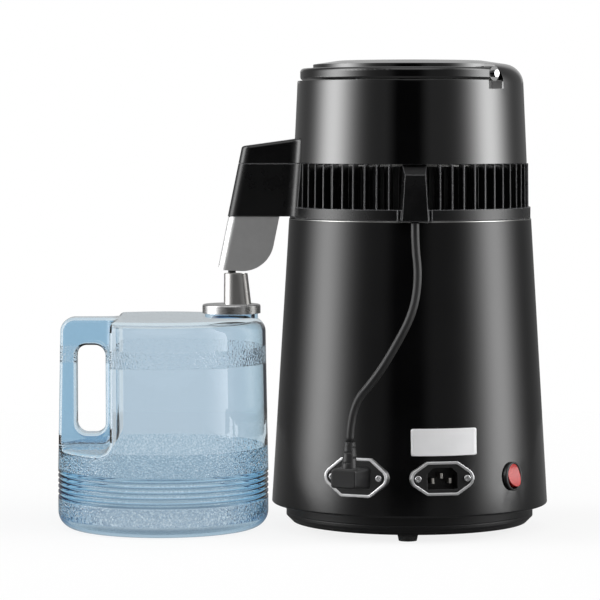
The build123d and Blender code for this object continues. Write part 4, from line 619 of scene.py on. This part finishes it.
def jug_wall_tint(tree, east, height, foot):
    """Tint of the wall by zones, painted shade in the deeper ones, painted shade and sheen by viewing
    angle.
    """
    beside = ease(tree, east, grip_edge, grip_edge - GRIP_EASE)
    grip = math_node(tree, "MULTIPLY", beside, ease(tree, height, *GRIP_LEVELS))
    ribbed = height_band(tree, height, FOOT_BAND[1], LOWER_BAND[1])
    zone = mix_colour(tree, ribbed, CLEAR_TINT, grooved_painted_light(tree, height))
    zone = mix_colour(tree, grip, zone, GRIP_PAINTED_SHADE)
    zone = mix_colour(tree, foot, zone, FOOT_PAINTED_SHADE)
    zone = mix_colour(tree, ease(tree, height, *BASE_FADE), zone, BASE_PAINTED_SHADE)
    slant = put(tree, "ShaderNodeLayerWeight", {"Blend": 0.5}).outputs["Facing"]
    low_zones = math_node(tree, "MAXIMUM", ribbed, foot)
    # Painted sheen on the clear wall's sides and painted shade on the low zones' sides.
    side = mix_colour(tree, low_zones, CLEAR_SIDE_PAINTED_SHEEN, LOW_SIDE_PAINTED_SHADE)
    return mix_colour(tree, ease(tree, slant, *SIDE_SLANT), zone, side)


print("jug wall tint ready,", GROOVE_COUNT, "grooves")

# %% [markdown]
# The pebbles come last, because they sit on every zone that they reach. One pattern of cells gives both the
# bump and the painted specks, glints on the low bands and shade on the upper band, so that the two fall on
# the same pebbles.

# %% Jug finish
PEBBLE_SCALE, PEBBLE_DEPTH = 720.0, 0.0006
UPPER_PEBBLE_SHARE = 1.1
PEBBLE_EDGES = (0.34, 0.62)


def build_jug_finish():
    sockets = {"Roughness": 0.02, "IOR": 1.38, "Transmission Weight": 1.0}
    material, tree, skin = new_finish("jug_clear_blue", sockets)
    place = put(tree, "ShaderNodeTexCoord").outputs["Object"]
    east, _, height = put(tree, "ShaderNodeSeparateXYZ", {0: place}).outputs
    upper = height_band(tree, height, *UPPER_BAND)
    foot = height_band(tree, height, *FOOT_BAND)
    low_bands = math_node(tree, "MAXIMUM", height_band(tree, height, *LOWER_BAND), foot)
    raised = math_node(tree, "MULTIPLY", upper, UPPER_PEBBLE_SHARE)
    mask = math_node(tree, "MAXIMUM", raised, low_bands)
    pattern = {"Vector": place, "Scale": PEBBLE_SCALE}
    cells = put(tree, "ShaderNodeTexVoronoi", pattern, feature="SMOOTH_F1").outputs["Distance"]
    relief = {"Height": math_node(tree, "MULTIPLY", cells, mask), "Strength": 1.0, "Distance": PEBBLE_DEPTH}
    tree.links.new(put(tree, "ShaderNodeBump", relief).outputs[0], skin.inputs["Normal"])
    painted_speck = ease(tree, cells, *PEBBLE_EDGES)
    wall = jug_wall_tint(tree, east, height, foot)
    # Painted specks: pale glints on the foot and lower band, darker shade on the upper band.
    wall = mix_colour(tree, math_node(tree, "MULTIPLY", low_bands, painted_speck), wall, LOW_PEBBLE_PAINTED_GLINT)
    wall = mix_colour(tree, math_node(tree, "MULTIPLY", upper, painted_speck), wall, UPPER_PEBBLE_PAINTED_SHADE)
    tree.links.new(wall, skin.inputs["Base Color"])
    absorbed = {"Color": INSIDE_TINT, "Density": INSIDE_DENSITY}
    inside = put(tree, "ShaderNodeVolumeAbsorption", absorbed)
    tree.links.new(inside.outputs[0], tree.nodes["Material Output"].inputs["Volume"])
    return material


jug_clear_blue = build_jug_finish()
nodes["jug"].visible_shadow = False
print("jug finish with", len(jug_clear_blue.node_tree.nodes), "nodes")

# %% [markdown]
# In the photograph each gloss and each steel piece shows little but the soft boxes: the jug, the lead and
# the spout leave no image in the housing, and the housing none in the jug. So the pieces that stand close
# to another are left out of mirror images. They stay in plain view, and light that passes through the jug
# still meets them.

# %% Pieces that the gloss doesn't mirror
UNMIRRORED = (
    "jug", "jug_cap", "cap_inlet", "cap_liner", "spout_insert", "outlet_nipple",
    "filter_cup", "carbon_pack", "head_cover", "head_plug", "plug_boot", "outer_housing",
)
for piece in [lead, *(nodes[name] for name in UNMIRRORED)]:
    piece.visible_glossy = False
print("left out of mirror images: the lead and", len(UNMIRRORED), "pieces")

# %% [markdown]
# ## Dressing the construction pieces
# Each piece of the construction model now takes its finish. Its shape stays as it is.

# %% Assign finishes
DRESS = {
    housing_paint: ["outer_housing"],
    cover_polish: ["head_cover"],
    handle_polish: ["carry_handle"],
    vent_grain: ["vent_ring"],
    tray_satin: ["base_tray"],
    guard_satin: ["fan_guard"],
    foot_rubber: ["rubber_feet", "outlet_nipple"],
    socket_black: ["mains_inlet", "head_outlet", "switch_body"],
    lead_black: ["head_cord", "head_plug", "plug_boot"],
    fan_black: ["fan_rotor"],
    rocker_red: ["rocker"],
    silicone_pale: ["seal_ring", "cap_liner"],
    cup_white: ["filter_cup"],
    thermostat_glaze: ["thermostats"],
    carbon_fleece: ["carbon_pack"],
    motor_paint: ["fan_motor"],
    tank_steel: ["boiler_tank", "steam_pan"],
    cap_steel: ["jug_cap"],
    insert_steel: ["spout_insert"],
    inlet_steel: ["cap_inlet"],
    tube_steel: ["heater_tube", "condenser_coil", "tie_posts", "motor_bracket", "motor_shaft"],
    plain_alu: ["heater_plate"],
    fin_painted_shade: ["condenser_fins"],
    bezel_plate: ["mains_inlet_bezel", "head_outlet_bezel"],
    screw_plate: ["socket_screws", "bracket_screws", "tie_screws"],
    pin_chrome: ["handle_pins"],
    contact_plate: ["mains_inlet_pins", "head_outlet_pins"],
    jug_clear_blue: ["jug"],
}


def dress(piece, material):
    piece.data.materials.clear()
    piece.data.materials.append(material)


for material, names in DRESS.items():
    for name in names:
        dress(nodes[name], material)
dress(lead, lead_black)
bare = sorted(set(nodes) - {name for names in DRESS.values() for name in names})
print("dressed", len(nodes) - len(bare), "pieces, bare:", bare)

# %% [markdown]
# ## The blank plate
# A small white plate is stuck to the housing above the sockets, and it bends with the wall. It is built
# straight on the cone: rows of points across its width, pulled in at the round corners, once for the face
# and once for its back.

# %% Blank plate on the housing
PLATE_WIDTH, PLATE_HEIGHT, PLATE_ROUND, PLATE_THICKNESS = 0.0544, 0.0216, 0.0014, 0.0003
PLATE_BEARING, PLATE_LEVEL, PLATE_SEAT = 12.5, 0.0811, 0.00004
WALL_BASE_RADIUS, WALL_TOP_RADIUS = 0.1140, 0.0998
wall_low, wall_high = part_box("outer_housing")


def wall_radius(level):
    """Radius of the housing's outside at a level."""
    share = (level - wall_low.z) / (wall_high.z - wall_low.z)
    return WALL_BASE_RADIUS + (WALL_TOP_RADIUS - WALL_BASE_RADIUS) * share


def wall_point(level, arc, lift):
    """Point on the housing wall, an arc's length to the right of the plate's middle."""
    radius = wall_radius(level)
    bearing = math.radians(PLATE_BEARING) + arc / radius
    reach = radius + lift
    east = boiler_axis.x + reach * math.sin(bearing)
    north = boiler_axis.y - reach * math.cos(bearing)
    return Vector((east, north, level))


def plate_rows(rows=14, columns=25):
    half = PLATE_HEIGHT / 2
    for i in range(rows):
        rise = -half + PLATE_HEIGHT * (0.5 - 0.5 * math.cos(math.pi * i / (rows - 1)))
        inward = max(0.0, abs(rise) - half + PLATE_ROUND)
        reach = PLATE_WIDTH / 2 - PLATE_ROUND + math.sqrt(max(0.0, PLATE_ROUND ** 2 - inward ** 2))
        yield PLATE_LEVEL + rise, [reach * (2 * k / (columns - 1) - 1) for k in range(columns)]


shape = bmesh.new()
front, back = [], []
for level, arcs in plate_rows():
    front.append([shape.verts.new(wall_point(level, arc, PLATE_THICKNESS)) for arc in arcs])
    back.append([shape.verts.new(wall_point(level, arc, PLATE_SEAT)) for arc in arcs])
for grid in (front, back):
    for low_row, high_row in zip(grid, grid[1:]):
        for k in range(len(low_row) - 1):
            shape.faces.new((low_row[k], low_row[k + 1], high_row[k + 1], high_row[k])).smooth = True


def rim_of(grid):
    right = [row[-1] for row in grid[1:-1]]
    left = [row[0] for row in reversed(grid[1:-1])]
    return grid[0] + right + grid[-1][::-1] + left


outer, inner = rim_of(front), rim_of(back)
for k in range(len(outer)):
    after = (k + 1) % len(outer)
    shape.faces.new((outer[k], inner[k], inner[after], outer[after]))
bmesh.ops.recalc_face_normals(shape, faces=shape.faces)
plate_mesh = bpy.data.meshes.new("blank_plate")
shape.to_mesh(plate_mesh)
shape.free()
blank_plate = bpy.data.objects.new("blank_plate", plate_mesh)
scene.collection.objects.link(blank_plate)
dress(blank_plate, plate_white)
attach(blank_plate, "boiler")
print("blank plate", len(plate_mesh.vertices), "vertices")

# %% [markdown]
# ## Studio
# Gloss black shows the studio more than itself. Two tall soft boxes stand left and right of the object: as
# mirror images in the round housing they are the two pale streaks, and the gap between them, where the
# camera stands, is the dark strip in the middle. So the world is painted by bearing: a soft bell of light
# on each side, dim elsewhere. A round lamp high in front lights the faces that look at the camera, and a
# faint ceiling the tops.

# %% World: what lights the object
BOX_BEARING, BOX_SPREAD, BOX_STRENGTH = math.radians(82.9), math.radians(20.0), 6.7
BOX_SKEW, GAP_SKEW = math.radians(1.1), math.radians(4.3)
LAMP_RISE, LAMP_STRENGTH = math.radians(50.0), 1.4
ROOM_STRENGTH, CEILING_STRENGTH = 0.2, 0.3
BOX_TOP, GAP_EDGE, LAMP_EDGE, CEILING_EDGE = (0.92, 0.62), (0.16, 0.42), (0.80, 0.97), (0.70, 0.95)

world = bpy.data.worlds.new("studio")
scene.world = world
world.use_nodes = True
sky = world.node_tree
sky.nodes.clear()

way = put(sky, "ShaderNodeTexCoord").outputs["Generated"]
east, north, up = put(sky, "ShaderNodeSeparateXYZ", {0: way}).outputs
bearing = math_node(sky, "ARCTAN2", east, math_node(sky, "MULTIPLY", north, -1.0))
from_front = math_node(sky, "ABSOLUTE", math_node(sky, "ADD", bearing, BOX_SKEW))
from_gap = math_node(sky, "ABSOLUTE", math_node(sky, "ADD", bearing, GAP_SKEW))
off_box = math_node(sky, "DIVIDE", math_node(sky, "SUBTRACT", from_front, BOX_BEARING), BOX_SPREAD)
squared = math_node(sky, "MULTIPLY", off_box, off_box)
bell = math_node(sky, "EXPONENT", math_node(sky, "MULTIPLY", squared, -1.0))
topped = math_node(sky, "MULTIPLY", bell, ease(sky, up, *BOX_TOP))
boxes = math_node(sky, "MULTIPLY", topped, BOX_STRENGTH)
lit_room = math_node(sky, "ADD", boxes, ROOM_STRENGTH)
room = math_node(sky, "MULTIPLY", lit_room, ease(sky, from_gap, *GAP_EDGE))
lamp_way = (0.0, -math.cos(LAMP_RISE), math.sin(LAMP_RISE))
facing = put(sky, "ShaderNodeVectorMath", {0: way, 1: lamp_way}, operation="DOT_PRODUCT").outputs["Value"]
lamp = math_node(sky, "MULTIPLY", ease(sky, facing, *LAMP_EDGE), LAMP_STRENGTH)
ceiling = math_node(sky, "MULTIPLY", ease(sky, up, *CEILING_EDGE), CEILING_STRENGTH)
glow = math_node(sky, "ADD", math_node(sky, "ADD", room, lamp), ceiling)
print("studio light with", len(sky.nodes), "nodes")

# %% [markdown]
# Behind the object hangs a plain white sheet. The camera sees it all round, and so does every ray that has
# come through the clear jug. Polished faces show it only where it really hangs, behind the object and above
# the level of the counter, and dimmed, as a sheet is that stands far back from the soft boxes.

# %% World: the white sheet
SHEET_MIRROR = 0.35
SHEET_BEARING = (math.radians(150.0), math.radians(168.0))
SHEET_RISE = (0.02, 0.05)
ONE_PASS = 0.5


def looked_at(tree, mirror):
    """Mask of the rays that look at a backdrop, with a share for those that a mirror sends there."""
    path = put(tree, "ShaderNodeLightPath").outputs
    passed = math_node(tree, "GREATER_THAN", path["Transmission Depth"], ONE_PASS)
    through = math_node(tree, "MAXIMUM", path["Is Transmission Ray"], passed)
    seen = math_node(tree, "MAXIMUM", path["Is Camera Ray"], through)
    return math_node(tree, "MAXIMUM", seen, math_node(tree, "MULTIPLY", path["Is Glossy Ray"], mirror))


behind = ease(sky, from_front, *SHEET_BEARING)
hanging = math_node(sky, "MULTIPLY", behind, ease(sky, up, *SHEET_RISE))
seen = looked_at(sky, math_node(sky, "MULTIPLY", hanging, SHEET_MIRROR))
studio = put(sky, "ShaderNodeBackground", {"Strength": glow})
sheet = put(sky, "ShaderNodeBackground", {"Color": (1.0, 1.0, 1.0, 1.0), "Strength": 1.0})
both = put(sky, "ShaderNodeMixShader", {0: seen, 1: studio.outputs[0], 2: sheet.outputs[0]})
put(sky, "ShaderNodeOutputWorld", {"Surface": both.outputs[0]})
print("world with", len(sky.nodes), "nodes")

# %% [markdown]
# The floor is a plain pale sheet. It takes the soft shadow of the object as any matte surface does. A glow
# lifts it to the white of the backdrop. Only what looks at the floor sees that glow: the camera, rays that
# come through the jug, and faintly what is mirrored.

# %% Floor
FLOOR_SIZE, FLOOR_SHADE, FLOOR_GLOW, FLOOR_MIRROR = 2.0, 0.15, 0.84, 0.1
FLOOR_DROP = 0.0002

bpy.ops.mesh.primitive_plane_add(size=FLOOR_SIZE, location=(0.0, 0.0, -FLOOR_DROP))
floor = bpy.context.object
floor.name = "floor"
white_sheet = bpy.data.materials.new("white_sheet")
white_sheet.use_nodes = True
tree = white_sheet.node_tree
tree.nodes.clear()
matte = put(tree, "ShaderNodeBsdfDiffuse", {"Color": (FLOOR_SHADE, FLOOR_SHADE, FLOOR_SHADE, 1.0)})
seen = looked_at(tree, FLOOR_MIRROR)
lift = put(tree, "ShaderNodeEmission", {"Strength": math_node(tree, "MULTIPLY", seen, FLOOR_GLOW)})
total = put(tree, "ShaderNodeAddShader", {0: matte.outputs[0], 1: lift.outputs[0]})
put(tree, "ShaderNodeOutputMaterial", {"Surface": total.outputs[0]})
dress(floor, white_sheet)
print("floor ready")
